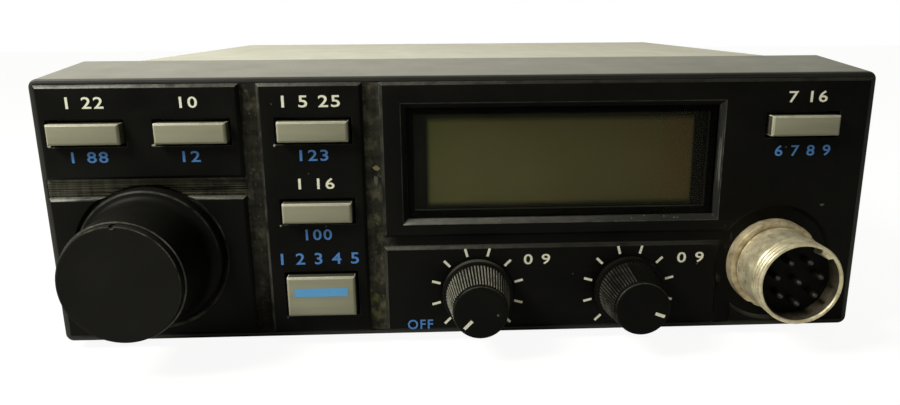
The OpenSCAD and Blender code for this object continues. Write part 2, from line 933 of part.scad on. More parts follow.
// Small knob: flange, tapered body and flat front
module small_knob(at) {
    y0 = -knob_lift;
    y1 = y0 - knob_flange_t;
    color([0.09, 0.09, 0.085])
    difference() {
        turned(at, [[0, y0], [knob_r, y0], [knob_r, y1 + knob_edge_c], [knob_r - knob_edge_c, y1],
                    [knob_body_r, y1], [knob_front_r, -knob_out + knob_face_c],
                    [knob_front_r - knob_face_c, -knob_out], [0, -knob_out]]);
        rod(at, -knob_out + knob_socket, y0 + over, shaft_r + press_gap);
    }
}

module volume_knob() { small_knob(volume_at); }
module squelch_knob() { small_knob(squelch_at); }

// ---------------------------------------------------------------- microphone socket

module mic_socket_shell() {
    color([0.72, 0.68, 0.56])
    difference() {
        union() {
            rod(mic_at, -mic_out, -mic_ring_out, mic_r);
            rod(mic_at, -mic_ring_out - eps, mic_tail, mic_root_r);
            rod(mic_at, panel_t, panel_t + mic_flange_t, mic_flange_r);
        }
        difference() {
            rod(mic_at, -mic_out - over, mic_tail + over, mic_bore_r);
            translate([mic_at[0], face_y, mic_at[1]])
                rotate([0, mic_key_angle, 0])
                    translate([-mic_key_w / 2, -mic_out + mic_key_set, mic_bore_r - mic_key_h])
                        cube([mic_key_w, mic_depth - mic_key_set, mic_key_h + over]);
        }
        for (g = mic_groove_y)
            turned(mic_at, [[mic_r - mic_groove_r, -mic_out + g],
                            [mic_r + over, -mic_out + g - mic_groove_r - over],
                            [mic_r + over, -mic_out + g + mic_groove_r + over]]);
    }
}

module mic_socket_ring() {
    color([0.66, 0.62, 0.5])
    turned(mic_at, [[mic_root_r, groove_d], [mic_ring_r, groove_d],
                    [mic_ring_r, -mic_ring_out + mic_ring_c],
                    [mic_ring_r - mic_ring_c, -mic_ring_out], [mic_root_r, -mic_ring_out]]);
}

function pin_places() = concat([mic_at],
    [for (i = [0 : mic_pins - 1])
        mic_at + mic_pin_circle * [sin(180 + i * 360 / mic_pins), cos(180 + i * 360 / mic_pins)]]);

module mic_socket_insert() {
    color([0.06, 0.06, 0.06])
    difference() {
        rod(mic_at, -mic_out + mic_depth, mic_tail - pin_tail, mic_bore_r);
        for (at = pin_places())
            rod(at, -mic_out, mic_tail + over, mic_pin_r);
    }
}

module mic_socket_pins() {
    color([0.75, 0.72, 0.6])
    for (at = pin_places())
        turned(at, [[0, -mic_out + pin_set], [mic_pin_r - pin_tip_c, -mic_out + pin_set],
                    [mic_pin_r, -mic_out + pin_set + pin_tip],
                    [mic_pin_r, mic_tail + pin_tail], [0, mic_tail + pin_tail]]);
}

// ---------------------------------------------------------------- case

// A cover's sheet: the part of the case's shell between z0 and z1
module cover_sheet(z0, z1) {
    intersection() {
        translate([0, face_y + case_d, case_h / 2])
            rotate([90, 0, 0])
                linear_extrude(case_d - cover_y)
                    difference() {
                        round_outline(case_w, case_h, bend_r);
                        square([case_w - 2 * cover_t, case_h - 2 * cover_t], center = true);
                    }
        block(-case_w, case_w, 0, 2 * case_d, z0, z1);
    }
}

// Holes through both sides of a cover at [depth, height]
module side_holes(places, r) {
    for (p = places)
        cross_rod(-case_w, case_w, p[0], p[1], r);
}

module top_cover() {
    color([0.82, 0.82, 0.76])
    difference() {
        cover_sheet(seam_z + seam_gap / 2, case_h + over);
        side_holes([for (y = cover_screw_ys) [y, cover_screw_zs[1]]], screw_r + screw_gap);
        side_holes([[bracket_y, bracket_z]], insert_r + insert_gap);
    }
}

module bottom_cover() {
    color([0.5, 0.5, 0.47])
    difference() {
        cover_sheet(-over, seam_z - seam_gap / 2);
        side_holes([for (y = cover_screw_ys) [y, cover_screw_zs[0]]], screw_r + screw_gap);
        for (i = [0 : slots - 1]) {
            off = (i - (slots - 1) / 2) * slot_pitch;
            half = sqrt(pow(speaker_r - slot_edge, 2) - pow(off, 2));
            block(-half, half, speaker_y + off - slot_w / 2, speaker_y + off + slot_w / 2,
                  -over, floor_z + over);
        }
    }
}

module cover_screws() {
    color("silver")
    for (s = [-1, 1])
        for (y = cover_screw_ys)
            for (z = cover_screw_zs)
                translate([s * case_w / 2, face_y + y, z])
                    rotate([0, s * 90, 0])
                        difference() {
                            union() {
                                cylinder(h = screw_head_t, r = screw_head_r);
                                translate([0, 0, -cover_screw_l])
                                    cylinder(h = cover_screw_l, r = screw_r);
                            }
                            translate([-screw_slot / 2, -screw_head_r, screw_head_t - screw_slot])
                                cube([screw_slot, 2 * screw_head_r, over]);
                        }
}

// Cast frame: front flange, two side walls, a rear wall and blocks for the main board
module chassis() {
    window_x = wall_in - window_side;
    color([0.62, 0.63, 0.64])
    difference() {
        union() {
            plate([0, mid_z], flange_w, flange_h, flange_y, flange_back);
            for (s = [-1, 1]) {
                block(min(s * wall_in, s * wall_x), max(s * wall_in, s * wall_x),
                      flange_back - eps, cover_y, mid_z - flange_h / 2, mid_z + flange_h / 2);
                block(min(s * wall_in, s * wall_x), max(s * wall_in, s * wall_x),
                      cover_y - eps, case_d, floor_z, roof_z);
                for (y = board_block_ys)
                    block(min(s * (wall_in - board_block), s * wall_in) - (s > 0 ? 0 : eps),
                          max(s * (wall_in - board_block), s * wall_in) + (s > 0 ? eps : 0),
                          y - board_block / 2, y + board_block / 2,
                          main_board_z - board_block_h, main_board_z);
                cross_rod(s > 0 ? wall_x - insert_l : -wall_x, s > 0 ? wall_x : insert_l - wall_x,
                          bracket_y, bracket_z, insert_r + insert_boss);
            }
            block(-wall_x, wall_x, rear_wall_y, case_d, floor_z, roof_z);
        }
        block(-window_x, window_x, flange_y - over, flange_back + over,
              window_z, bezel_h - window_z);
        for (s = [-1, 1]) {
            for (z = bezel_screw_zs)
                rod([s * bezel_screw_x, z], flange_y - over, flange_back + over, screw_r + screw_gap);
            for (y = board_block_ys)
                translate([s * (wall_in - board_block / 2), face_y + y, main_board_z - board_pilot])
                    cylinder(h = board_pilot + over, r = screw_r);
            cross_rod(s > 0 ? wall_x - insert_l - over : -wall_x - over,
                      s > 0 ? wall_x + over : insert_l - wall_x + over,
                      bracket_y, bracket_z, insert_r);
        }
        side_holes([for (y = cover_screw_ys) for (z = cover_screw_zs) [y, z]], screw_r);
        rod(lead_at, rear_wall_y - over, case_d + over, grommet_r + grommet_gap);
        rod(jack_at, rear_wall_y - over, case_d + over, jack_body_r + jack_gap);
        rod(antenna_at, rear_wall_y - over, case_d + over, antenna_r + antenna_hole_gap);
        for (at = sink_screw_places())
            rod(at, rear_wall_y - over, case_d + over, screw_r);
    }
}

// Threaded inserts for the bracket's side knobs, flush with the covers
module bracket_inserts() {
    color([0.75, 0.6, 0.3])
    for (s = [-1, 1])
        difference() {
            cross_rod(s > 0 ? wall_x - insert_l : -case_w / 2,
                      s > 0 ? case_w / 2 : insert_l - wall_x, bracket_y, bracket_z, insert_r);
            cross_rod(s > 0 ? wall_x - insert_l + over : -case_w / 2 - over,
                      s > 0 ? case_w / 2 + over : insert_l - wall_x - over,
                      bracket_y, bracket_z, bracket_r);
        }
}

// ---------------------------------------------------------------- inside

module main_board() {
    color([0.13, 0.33, 0.2])
    difference() {
        block(-main_w / 2, main_w / 2, main_y0, main_y1, main_board_z, board_z1);
        for (s = [-1, 1]) {
            for (y = board_block_ys)
                translate([s * (wall_in - board_block / 2), face_y + y, main_board_z - over])
                    cylinder(h = board_t + 2 * over, r = screw_r + screw_gap);
            block(s > 0 ? wall_x - insert_l - insert_end_gap : -wall_x,
                  s > 0 ? wall_x : insert_l - wall_x + insert_end_gap,
                  bracket_y - insert_r - insert_board_gap, bracket_y + insert_r + insert_board_gap,
                  main_board_z - over, board_z1 + over);
        }
    }
}

module board_screws() {
    color("silver") {
        for (s = [-1, 1])
            for (y = board_block_ys)
                translate([s * (wall_in - board_block / 2), face_y + y, board_z1]) {
                    cylinder(h = screw_head_t, r = screw_head_r);
                    translate([0, 0, -board_screw_l])
                        cylinder(h = board_screw_l, r = screw_r);
                }
        for (x = post_xs)
            for (z = post_zs) {
                rod([x, z], back_y, back_y + screw_head_t, screw_head_r);
                rod([x, z], front_board_y - post_screw_l, back_y, screw_r);
            }
    }
}

module power_module() {
    color([0.2, 0.2, 0.22])
    block(module_x0, module_x0 + module_w, rear_wall_y - module_d, rear_wall_y,
          board_z1, board_z1 + module_h);
}

module shield_cans() {
    color([0.75, 0.76, 0.77])
    for (i = [0, 1])
        difference() {
            block(can_xs[i], can_xs[i] + can_ws[i], can_y, can_y + can_d,
                  board_z1, board_z1 + can_h);
            block(can_xs[i] + can_t, can_xs[i] + can_ws[i] - can_t, can_y + can_t,
                  can_y + can_d - can_t, board_z1 - over, board_z1 + can_h - can_t);
        }
}

module capacitors() {
    color([0.12, 0.14, 0.3])
    for (x = capacitor_xs)
        translate([x, face_y + rear_wall_y - capacitor_back, board_z1])
            cylinder(h = capacitor_h, r = capacitor_r);
}

// Flat cable from the front board to the main board, bent in two places
module ribbon_cable() {
    z0 = ribbon_z;
    y1 = ribbon_y;
    t = ribbon_t;
    color([0.7, 0.7, 0.68])
    translate([ribbon_x, face_y, 0])
        rotate([90, 0, 90])
            linear_extrude(ribbon_w)
                polygon([[back_y, z0], [y1 + t, z0], [y1 + t, board_z1], [y1, board_z1],
                         [y1, z0 - t], [back_y, z0 - t]]);
}

module speaker_frame() {
    h = speaker_h - speaker_sheet;
    color([0.35, 0.36, 0.38])
    translate([0, face_y + speaker_y, floor_z])
        rotate_extrude()
            polygon([[speaker_r, 0], [speaker_r, speaker_ring], [magnet_r + seat_lip, speaker_h],
                     [0, speaker_h], [0, h], [magnet_r + seat_lip - seat_wall, h],
                     [speaker_r - speaker_rim, speaker_ring - seat_wall], [speaker_r - speaker_rim, 0]]);
}

module speaker_cone() {
    rim = speaker_r - speaker_rim;
    surround = speaker_r - cone_surround;
    color([0.12, 0.12, 0.12])
    translate([0, face_y + speaker_y, floor_z])
        rotate_extrude()
            polygon([[rim, cone_z], [rim, cone_z + cone_t], [surround, cone_edge_z + cone_sheet],
                     [cone_neck_r, cone_neck_z + cone_sheet], [dome_r, dome_edge_z + cone_sheet],
                     [0, dome_z + cone_t], [0, dome_z], [dome_r, dome_edge_z],
                     [cone_neck_r, cone_neck_z], [surround, cone_edge_z]]);
}

module speaker_magnet() {
    color([0.25, 0.25, 0.27])
    translate([0, face_y + speaker_y, floor_z + speaker_h])
        cylinder(h = magnet_t, r = magnet_r);
}

// ---------------------------------------------------------------- rear

function sink_screw_places() =
    [for (x = [-sink_w / 2 + sink_screw_left, bay_x - sink_screw_bay])
        for (z = [mid_z - sink_screw_z, mid_z + sink_screw_z]) [x, z]];

function antenna_screw_places() =
    [for (sx = [-1, 1]) for (sz = [-1, 1]) antenna_at + antenna_screw * [sx, sz]];

module heat_sink() {
    color([0.13, 0.13, 0.13])
    difference() {
        union() {
            plate([0, mid_z], sink_w, sink_h, sink_y, sink_face);
            for (i = [0 : fins - 1]) {
                x = fin_x0 + i * fin_pitch;
                if (x + fin_t < bay_x - bay_left)
                    block(x, x + fin_t, sink_face - eps, sink_y + sink_d,
                          mid_z - sink_h / 2, mid_z + sink_h / 2);
            }
        }
        for (at = sink_screw_places()) {
            rod(at, sink_y - over, sink_face + over, screw_r + screw_gap);
            rod(at, sink_face, sink_y + sink_d + over, screw_head_r + head_gap);
        }
        for (at = antenna_screw_places())
            rod(at, sink_face - antenna_pilot, sink_face + over, screw_r);
        rod(antenna_at, sink_y - over, sink_face + over, antenna_r + antenna_seat_gap);
        rod(jack_at, sink_y - over, sink_face + over, jack_body_r + jack_gap);
        rod(lead_at, sink_y - over, sink_face + over, grommet_r + grommet_gap);
    }
}

module rear_screws() {
    color("silver") {
        for (at = sink_screw_places())
            depth_screw(at, sink_face, sink_screw_l, -1);
        for (at = antenna_screw_places())
            depth_screw(at, sink_face + antenna_flange_t, antenna_screw_l, -1);
    }
}

module antenna_socket() {
    y0 = sink_face;
    y1 = sink_face + antenna_flange_t + antenna_l;
    color([0.75, 0.75, 0.74])
    difference() {
        union() {
            plate(antenna_at, antenna_flange, antenna_flange, y0, y0 + antenna_flange_t);
            rod(antenna_at, y0, y1, antenna_r);
            rod(antenna_at, sink_y + antenna_root_y, y0 + eps, antenna_root_r);
        }
        rod(antenna_at, sink_y - over, y1 + over, antenna_r - antenna_wall);
        for (at = antenna_screw_places())
            rod(at, y0 - over, y0 + antenna_flange_t + over, screw_r + antenna_screw_gap);
    }
}

module antenna_insulator() {
    y1 = sink_face + antenna_flange_t + antenna_l - insulator_in;
    color([0.9, 0.88, 0.82])
    difference() {
        rod(antenna_at, sink_y + antenna_root_y, y1, antenna_r - antenna_wall);
        rod(antenna_at, sink_y - over, y1 + over, contact_r);
    }
}

module antenna_contact() {
    y1 = sink_face + antenna_flange_t + antenna_l - contact_in;
    color([0.8, 0.7, 0.4])
    difference() {
        rod(antenna_at, sink_y - antenna_contact_tail, y1, contact_r);
        rod(antenna_at, y1 - antenna_contact_bore, y1 + over, antenna_hole_r);
    }
}

module power_grommet() {
    color([0.08, 0.08, 0.08])
    difference() {
        union() {
            rod(lead_at, rear_wall_y - grommet_flange_t, sink_face + grommet_flange_t, grommet_r);
            rod(lead_at, rear_wall_y - grommet_flange_t, rear_wall_y, grommet_flange_r);
            rod(lead_at, sink_face, sink_face + grommet_flange_t, grommet_flange_r);
        }
        rod(lead_at, rear_wall_y - grommet_flange_t - over, sink_face + grommet_flange_t + over,
            lead_r);
    }
}

module speaker_jack() {
    color([0.3, 0.3, 0.32])
    difference() {
        union() {
            rod(jack_at, rear_wall_y - jack_neck, sink_face + jack_out, jack_body_r);
            rod(jack_at, sink_face, sink_face + jack_nut_t, jack_nut_r);
            rod(jack_at, sink_face + jack_out - jack_l, rear_wall_y, jack_body_r + jack_step);
        }
        rod(jack_at, sink_face + jack_out - jack_l + jack_end, sink_face + jack_out + over, jack_r);
    }
}

front_bezel();
front_panel();
bezel_gasket();
bezel_screws();
display_window();
lcd_holder();
lcd_glass();
lcd_contact_strips();
backlight_guide();
backlight_lamps();
front_board();
key_switches();
dial_key();
memory_key();
power_key();
watch_key();
function_key();
call_key();
dial_plunger();
memory_plunger();
power_plunger();
watch_plunger();
function_plunger();
call_plunger();
channel_knob();
channel_knob_cap();
channel_shaft();
channel_encoder();
volume_knob();
volume_shaft();
volume_pot();
squelch_knob();
squelch_shaft();
squelch_pot();
shaft_nuts();
mic_socket_shell();
mic_socket_ring();
mic_socket_insert();
mic_socket_pins();
chassis();
top_cover();
bottom_cover();
cover_screws();
main_board();
board_screws();
power_module();
shield_cans();
capacitors();
ribbon_cable();
heat_sink();
rear_screws();
antenna_socket();
antenna_insulator();
antenna_contact();
speaker_frame();
speaker_cone();
speaker_magnet();
power_grommet();
speaker_jack();
bracket_inserts();
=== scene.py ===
"""Looks of a compact fixed-mount marine radio: worn black mouldings, grey keys, knobs, display and socket."""

import json
import math
import random

import bmesh
import bpy
from mathutils import Matrix, Vector

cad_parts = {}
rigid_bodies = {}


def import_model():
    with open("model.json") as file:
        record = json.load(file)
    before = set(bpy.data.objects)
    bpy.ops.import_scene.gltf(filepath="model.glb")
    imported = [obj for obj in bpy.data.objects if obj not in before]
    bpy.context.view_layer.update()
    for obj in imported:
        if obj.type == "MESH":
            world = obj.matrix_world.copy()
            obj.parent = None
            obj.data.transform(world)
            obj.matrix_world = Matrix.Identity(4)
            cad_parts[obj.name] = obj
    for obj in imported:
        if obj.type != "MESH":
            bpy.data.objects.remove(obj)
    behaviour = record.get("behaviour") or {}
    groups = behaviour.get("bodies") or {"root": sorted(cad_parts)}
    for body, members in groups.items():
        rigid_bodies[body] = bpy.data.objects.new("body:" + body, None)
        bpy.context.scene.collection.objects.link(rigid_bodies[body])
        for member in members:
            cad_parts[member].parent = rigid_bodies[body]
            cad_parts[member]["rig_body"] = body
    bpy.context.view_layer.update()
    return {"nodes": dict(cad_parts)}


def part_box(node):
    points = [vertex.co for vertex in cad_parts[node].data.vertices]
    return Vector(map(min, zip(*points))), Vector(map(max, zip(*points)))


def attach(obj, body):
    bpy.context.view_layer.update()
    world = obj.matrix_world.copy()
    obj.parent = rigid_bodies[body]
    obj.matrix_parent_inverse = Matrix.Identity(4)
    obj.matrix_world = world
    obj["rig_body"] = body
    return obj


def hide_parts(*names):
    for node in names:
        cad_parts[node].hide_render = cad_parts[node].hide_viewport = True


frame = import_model()
nodes = frame["nodes"]
random.seed(7)

MM = 0.001

# The photograph's camera: picture size, focal length and principal point in its pixels, place and angles
PHOTO_W = 900
PHOTO_H = 405
FOCAL_PX = 735.8
CENTRE_PX = (467.7, 207.0)
CAMERA_AT = Vector((-5.0, -207.3, 65.25)) * MM
PITCH = math.radians(14.34)
YAW = math.radians(2.39)
ROLL = math.radians(0.37)
SENSOR = 36.0

# Places and sizes on the front
PANEL_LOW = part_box("front_panel")[0]
FACE_Y = PANEL_LOW.y
LEFT_GROOVE_END = -42.3 * MM
DISPLAY_FRAME_W = 1.6 * MM
SOCKET_CLEAR_R = 14 * MM
PRINT_T = 0.03 * MM

# Roundings of the copies that stand for CAD nodes
KEY_ROUNDING = 0.16 * MM
PANEL_ROUNDING = 0.09 * MM
COVER_ROUNDING = 0.18 * MM
SINK_ROUNDING = 0.25 * MM
SCREW_ROUNDING = 0.12 * MM
SHARP_ANGLE = math.radians(40)
LARGE_FACE = 20 * MM * MM

# Tones that finishes share
PANEL_BLACK = (0.0022, 0.0022, 0.0019)
EDGE_BLACK = (0.005, 0.005, 0.004)
EDGE_BARE_AND_LIT = (0.14, 0.138, 0.115)
DUST = (0.20, 0.195, 0.16)
KEY_GREY = (0.26, 0.255, 0.185)
# The pins' dark tone is painted shade, for pins deep in the barrel.
PIN_BLACK = (0.014, 0.013, 0.011)

# The room's light: dim in front, brighter behind, most of all at the left
ROOM_TONE = (1.0, 0.985, 0.81)
ROOM_LIGHT = 0.13
WALL_LEFT = 1.32
WALL_RIGHT = 0.33
WALL_DEPTHS = (0.1, 0.85)
WALL_SIDES = (-0.6, 0.65)

# One soft lamp at the upper left
LAMP_TONE = (1.0, 0.985, 0.88)
LAMP_AT = Vector((-0.29, -0.20, 0.32))
LAMP_AIM = Vector((0, -0.066, 0.045))
LAMP_SIZE = 0.14
LAMP_POWER = 2.3

# The floor, just under the object: pale as a surface, and mostly its own glow to the camera
FLOOR_SIZE = 3.0
FLOOR_DROP = 0.02 * MM
FLOOR_TONE = (0.62, 0.62, 0.60)
FLOOR_GLOW = 1.16
FLOOR_GLOW_SHARE = 0.80


# ---------------- material helpers

def put(node, values):
    """Sets plain values on a node's sockets, by name."""
    for name, value in values.items():
        node.inputs[name].default_value = value


class Look:
    """A material's node tree, with short ways to add what finishes share. Its tone is the colour so far."""

    def __init__(self, name, tone, rough, metallic=0.0, specular=0.5):
        self.name = name
        self.material = bpy.data.materials.new(name)
        self.material.use_nodes = True
        self.tree = self.material.node_tree
        self.shader = self.tree.nodes["Principled BSDF"]
        put(self.shader, {"Base Color": (*tone, 1), "Roughness": rough, "Metallic": metallic,
                          "Specular IOR Level": specular})
        self.coords = self.add("ShaderNodeTexCoord").outputs["Object"]
        self.tone = tone

    def add(self, kind):
        return self.tree.nodes.new(kind)

    def link(self, source, target):
        self.tree.links.new(source, target)

    def feed(self, value, socket):
        """Puts a colour, a number or another node's output into a socket."""
        if isinstance(value, tuple):
            socket.default_value = (*value, 1)
        elif isinstance(value, (int, float)):
            socket.default_value = value
        else:
            self.link(value, socket)

    def texture(self, kind, scale, stretch=(1, 1, 1)):
        """A procedural texture on the object's own coordinates."""
        mapping = self.add("ShaderNodeMapping")
        put(mapping, {"Scale": stretch})
        texture = self.add(kind)
        put(texture, {"Scale": scale})
        self.link(self.coords, mapping.inputs["Vector"])
        self.link(mapping.outputs["Vector"], texture.inputs["Vector"])
        return texture

    def noise(self, scale, detail=4.0, stretch=(1, 1, 1)):
        texture = self.texture("ShaderNodeTexNoise", scale, stretch)
        put(texture, {"Detail": detail, "Roughness": 0.6})
        return texture.outputs["Fac"]

    def mottle(self, scale, low, high, detail=4.0, stretch=(1, 1, 1)):
        """Noise with its contrast set: low and high are each (noise level, value there)."""
        return self.ramp(self.noise(scale, detail, stretch), low, high)

    def patches(self, scale, low, high, detail=4.0, stretch=(1, 1, 1)):
        """0 to 1 as noise goes from one level to another."""
        return self.mottle(scale, (low, 0.0), (high, 1.0), detail, stretch)

    def specks(self, scale, size, share):
        """1 inside small specks scattered about one per cell, of which only a share is kept."""
        cells = self.texture("ShaderNodeTexVoronoi", scale)
        near = self.ramp(cells.outputs["Distance"], (size * 0.6, 1.0), (size, 0.0))
        kept = self.add("ShaderNodeSeparateColor")
        self.link(cells.outputs["Color"], kept.inputs["Color"])
        few = self.ramp(kept.outputs["Red"], (share, 1.0), (share + 0.01, 0.0))
        return self.times(near, few)

    def ramp(self, source, low, high):
        """A value that goes from one (place, value) to another along a factor."""
        node = self.add("ShaderNodeValToRGB")
        for element, (place, value) in zip(node.color_ramp.elements, (low, high)):
            element.position = place
            element.color = (value, value, value, 1)
        self.link(source, node.inputs["Fac"])
        return node.outputs["Color"]

    def math(self, operation, a, b):
        node = self.add("ShaderNodeMath")
        node.operation = operation
        self.feed(a, node.inputs[0])
        self.feed(b, node.inputs[1])
        return node.outputs["Value"]

    def times(self, mask, *others):
        """The product of masks and plain shares."""
        for other in others:
            mask = self.math("MULTIPLY", mask, other)
        return mask

    def blend(self, factor, a, b):
        node = self.add("ShaderNodeMix")
        node.data_type = "RGBA"
        self.link(factor, node.inputs["Factor"])
        self.feed(a, node.inputs[6])
        self.feed(b, node.inputs[7])
        return node.outputs[2]

    def axis(self, name, low, high, source=None):
        """0 to 1 as the object coordinate on one axis goes from low to high."""
        split = self.add("ShaderNodeSeparateXYZ")
        self.link(source or self.coords, split.inputs[0])
        span = self.add("ShaderNodeMapRange")
        put(span, {"From Min": low, "From Max": high})
        self.link(split.outputs[name], span.inputs["Value"])
        return span.outputs["Result"]

    def facing(self, axis, low, high):
        """0 to 1 as the surface's direction along one axis goes from low to high."""
        geometry = self.add("ShaderNodeNewGeometry")
        return self.axis(axis, low, high, geometry.outputs["Normal"])

    def window(self, name, low, high, soft):
        """1 between two object coordinates on one axis, fading out over a soft margin."""
        return self.times(self.axis(name, low - soft, low), self.axis(name, high + soft, high))

    def paint(self, tone, *masks):
        """Lays a tone over the colour so far, by the product of masks and plain shares."""
        self.tone = self.blend(self.times(*masks), self.tone, tone)
        self.link(self.tone, self.shader.inputs["Base Color"])

    def roughness(self, source):
        self.link(source, self.shader.inputs["Roughness"])

    def bump(self, height, distance, strength):
        node = self.add("ShaderNodeBump")
        put(node, {"Distance": distance, "Strength": strength})
        self.link(height, node.inputs["Height"])
        last = self.shader.inputs["Normal"]
        if last.is_linked:
            self.link(last.links[0].from_socket, node.inputs["Normal"])
        self.link(node.outputs["Normal"], last)


def shade(tone, factor, added=0.0):
    """A tone made darker or paler."""
    return tuple(min(1.0, c * factor + added) for c in tone)


# ---------------- finishes

def moulded_black(name, base, rough=0.48, specular=0.08, dusty=0.55, specks=0.05):
    """Satin black moulding: fine grain, faint cloudy wear, pale dust on upward faces and a few specks."""
    look = Look(name, base, rough, specular=specular)
    look.paint(shade(base, 1.7, 0.001), look.patches(60, 0.35, 0.75, 5))
    look.paint(DUST, look.specks(330, 0.10, specks), 0.6)
    film = look.mottle(190, (0.3, dusty * 0.55), (0.8, dusty), 6)
    look.paint(shade(DUST, 0.55), look.facing("Z", 0.4, 0.95), film)
    look.roughness(look.mottle(140, (0.3, rough - 0.06), (0.8, rough + 0.10), 5))
    look.bump(look.noise(4200, 3), 0.02 * MM, 0.4)
    return look


def groove_grime(look):
    """Dirt in the grooves left of the display: streaks, patches, pale dust in the groove across and a green
    stain low in the second upright one. It thins out at the first one's foot."""
    deep = look.axis("Y", FACE_Y + 0.5 * MM, FACE_Y + 0.95 * MM)
    streaks = look.times(look.mottle(420, (0.30, 0.2), (0.72, 1.0), 6, (0.12, 1, 1.8)),
                         look.mottle(560, (0.30, 0.2), (0.74, 1.0), 6, (1.8, 1, 0.16)))
    foot = look.times(look.axis("Z", 30 * MM, 12 * MM), look.axis("X", -34 * MM, -38 * MM))
    left = look.axis("X", -13.0 * MM, -15.5 * MM)
    grimy = look.times(deep, left, look.ramp(foot, (0.0, 1.0), (1.0, 0.35)))
    look.paint((0.052, 0.050, 0.036), grimy, streaks)
    across = look.axis("X", LEFT_GROOVE_END - 0.2 * MM, LEFT_GROOVE_END - 0.8 * MM)
    fade = look.axis("X", LEFT_GROOVE_END, PANEL_LOW.x)
    look.paint((0.20, 0.195, 0.15), across, deep, streaks, fade)
    look.paint((0.115, 0.108, 0.075), grimy, look.patches(230, 0.50, 0.66, 5), 0.55)
    second = look.window("X", -19.2 * MM, -15.8 * MM, 0.2 * MM)
    low_down = look.axis("Z", 40 * MM, 22 * MM)
    look.paint((0.13, 0.125, 0.045), second, deep, low_down, look.patches(330, 0.54, 0.62, 5), 0.6)
    look.paint((0.17, 0.165, 0.125), grimy, look.patches(2300, 0.60, 0.72, 4, (1, 1, 0.6)), 0.6)


def panel_finish():
    """The panel's moulding, with grime in the left grooves and scuffs beside its socket."""
    look = moulded_black("panel_moulding", PANEL_BLACK)
    groove_grime(look)
    beside = look.times(look.window("X", 52.6 * MM, 55.4 * MM, 1.6 * MM),
                        look.window("Z", 9 * MM, 24 * MM, 3 * MM))
    scuffs = look.patches(620, 0.56, 0.66, 7, (1, 1, 0.45))
    look.paint((0.085, 0.085, 0.07), beside, scuffs, 0.5)
    look.bump(look.noise(1300, 5), 0.08 * MM, 0.3)
    return look


def bezel_finish():
    """The bezel's moulding: polished by handling on its upward faces, which mirror the wall behind."""
    look = moulded_black("bezel_moulding", (0.0045, 0.0045, 0.004), 0.46, 0.5, 0.5)
    smooth = look.mottle(90, (0.3, 0.27), (0.8, 0.34))
    satin = look.mottle(140, (0.3, 0.42), (0.8, 0.54), 5)
    look.roughness(look.blend(look.facing("Z", 0.85, 0.98), satin, smooth))
    return look


def edge_finish(name, base, bare_and_lit, rough, specular, cover, up_share=1.0, around=0.0, fade=None):
    """Rubbed edges with a painted highlight: a paler tone, partly worn plastic and partly painted light,
    shows in patches, most on upward faces, less on left ones and least all round, as the lamp at the upper
    left would light them. A lower cover gives more patches. A fade (from, to) along the width lets them die
    out, a painted falloff of the light to the right."""
    look = Look(name, base, rough, specular=specular)
    patches = look.patches(330, cover - 0.12, cover + 0.10, 6)
    fine = look.mottle(2600, (0.35, 0.35), (0.7, 1.0))
    # Upward, left-facing and all-round shares follow the lamp at the upper left: there the paler tone is a
    # painted highlight.
    up = look.times(look.facing("Z", -0.1, 0.6), up_share)
    side = look.times(look.facing("X", -0.1, -0.7), patches, 0.6)
    lit = look.math("MAXIMUM", look.math("MAXIMUM", up, side), around)
    masks = [patches, fine, lit]
    # The fade is a painted falloff of the lamp's light toward the right.
    if fade:
        masks.append(look.ramp(look.axis("X", *fade), (0.0, 1.0), (1.0, 0.15)))
    look.paint(bare_and_lit, *masks)
    look.bump(look.noise(2400, 4), 0.03 * MM, 0.5)
    return look


def display_lit_edge_finish():
    """The display frame's lower and right slopes, which face the lamp: painted light, pale on the lower slope
    at the left and fading to dark toward the right, with a painted highlight in its lower left corner,
    scratches at the right and a thin bright rim painted as a highlight."""
    low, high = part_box("display_window")
    look = Look("display_lit_edge", PANEL_BLACK, 0.42, specular=0.3)
    lower = look.facing("Z", 0.2, 0.5)
    grain = look.mottle(1500, (0.30, 0.55), (0.70, 1.0), 6, (0.35, 1, 1))
    cloud = look.mottle(160, (0.30, 0.7), (0.65, 1.0))
    along = look.axis("X", low.x, high.x - 12 * MM)
    # Painted light: pale on the lower slope at the left, fading to dark toward the right.
    painted_lit_tone = look.blend(along, (0.160, 0.163, 0.145), (0.020, 0.020, 0.018))
    look.paint(painted_lit_tone, lower, grain, cloud)
    look.paint((0.26, 0.26, 0.22), lower, look.specks(1500, 0.26, 0.10), 0.7)
    scratch = look.patches(1700, 0.56, 0.62, 5, (2.2, 1, 0.05))
    look.paint((0.115, 0.115, 0.10), look.facing("X", -0.2, -0.5), scratch, 0.8)
    # Thin rim line: a painted highlight.
    rim = look.axis("Y", FACE_Y + 0.17 * MM, FACE_Y + 0.05 * MM)
    broken = look.mottle(420, (0.40, 0.15), (0.62, 1.0), 6)
    look.paint((0.075, 0.075, 0.065), rim, broken, look.facing("Y", -0.995, -0.95), 0.8)
    # Painted highlight in the lower left corner.
    look.paint((0.30, 0.30, 0.26), look.axis("X", low.x + 0.6 * MM, low.x - 1.0 * MM),
               look.axis("Z", low.z + 0.2 * MM, low.z - 0.8 * MM), 0.8)
    look.bump(look.noise(2400, 4), 0.03 * MM, 0.5)
    return look


def display_shade_finish():
    """The frame's upper and left slopes, turned from the lamp: the unlit copy, plain black, with a thin
    broken rim painted as a highlight.
    """
    look = moulded_black("display_shade", PANEL_BLACK, 0.55, 0.08, 0.0, 0.02)
    rim = look.axis("Y", FACE_Y + 0.20 * MM, FACE_Y + 0.08 * MM)
    broken = look.mottle(300, (0.34, 0.25), (0.58, 1.0), 6)
    # Thin rim line: a painted highlight.
    look.paint((0.060, 0.060, 0.052), rim, broken)
    return look


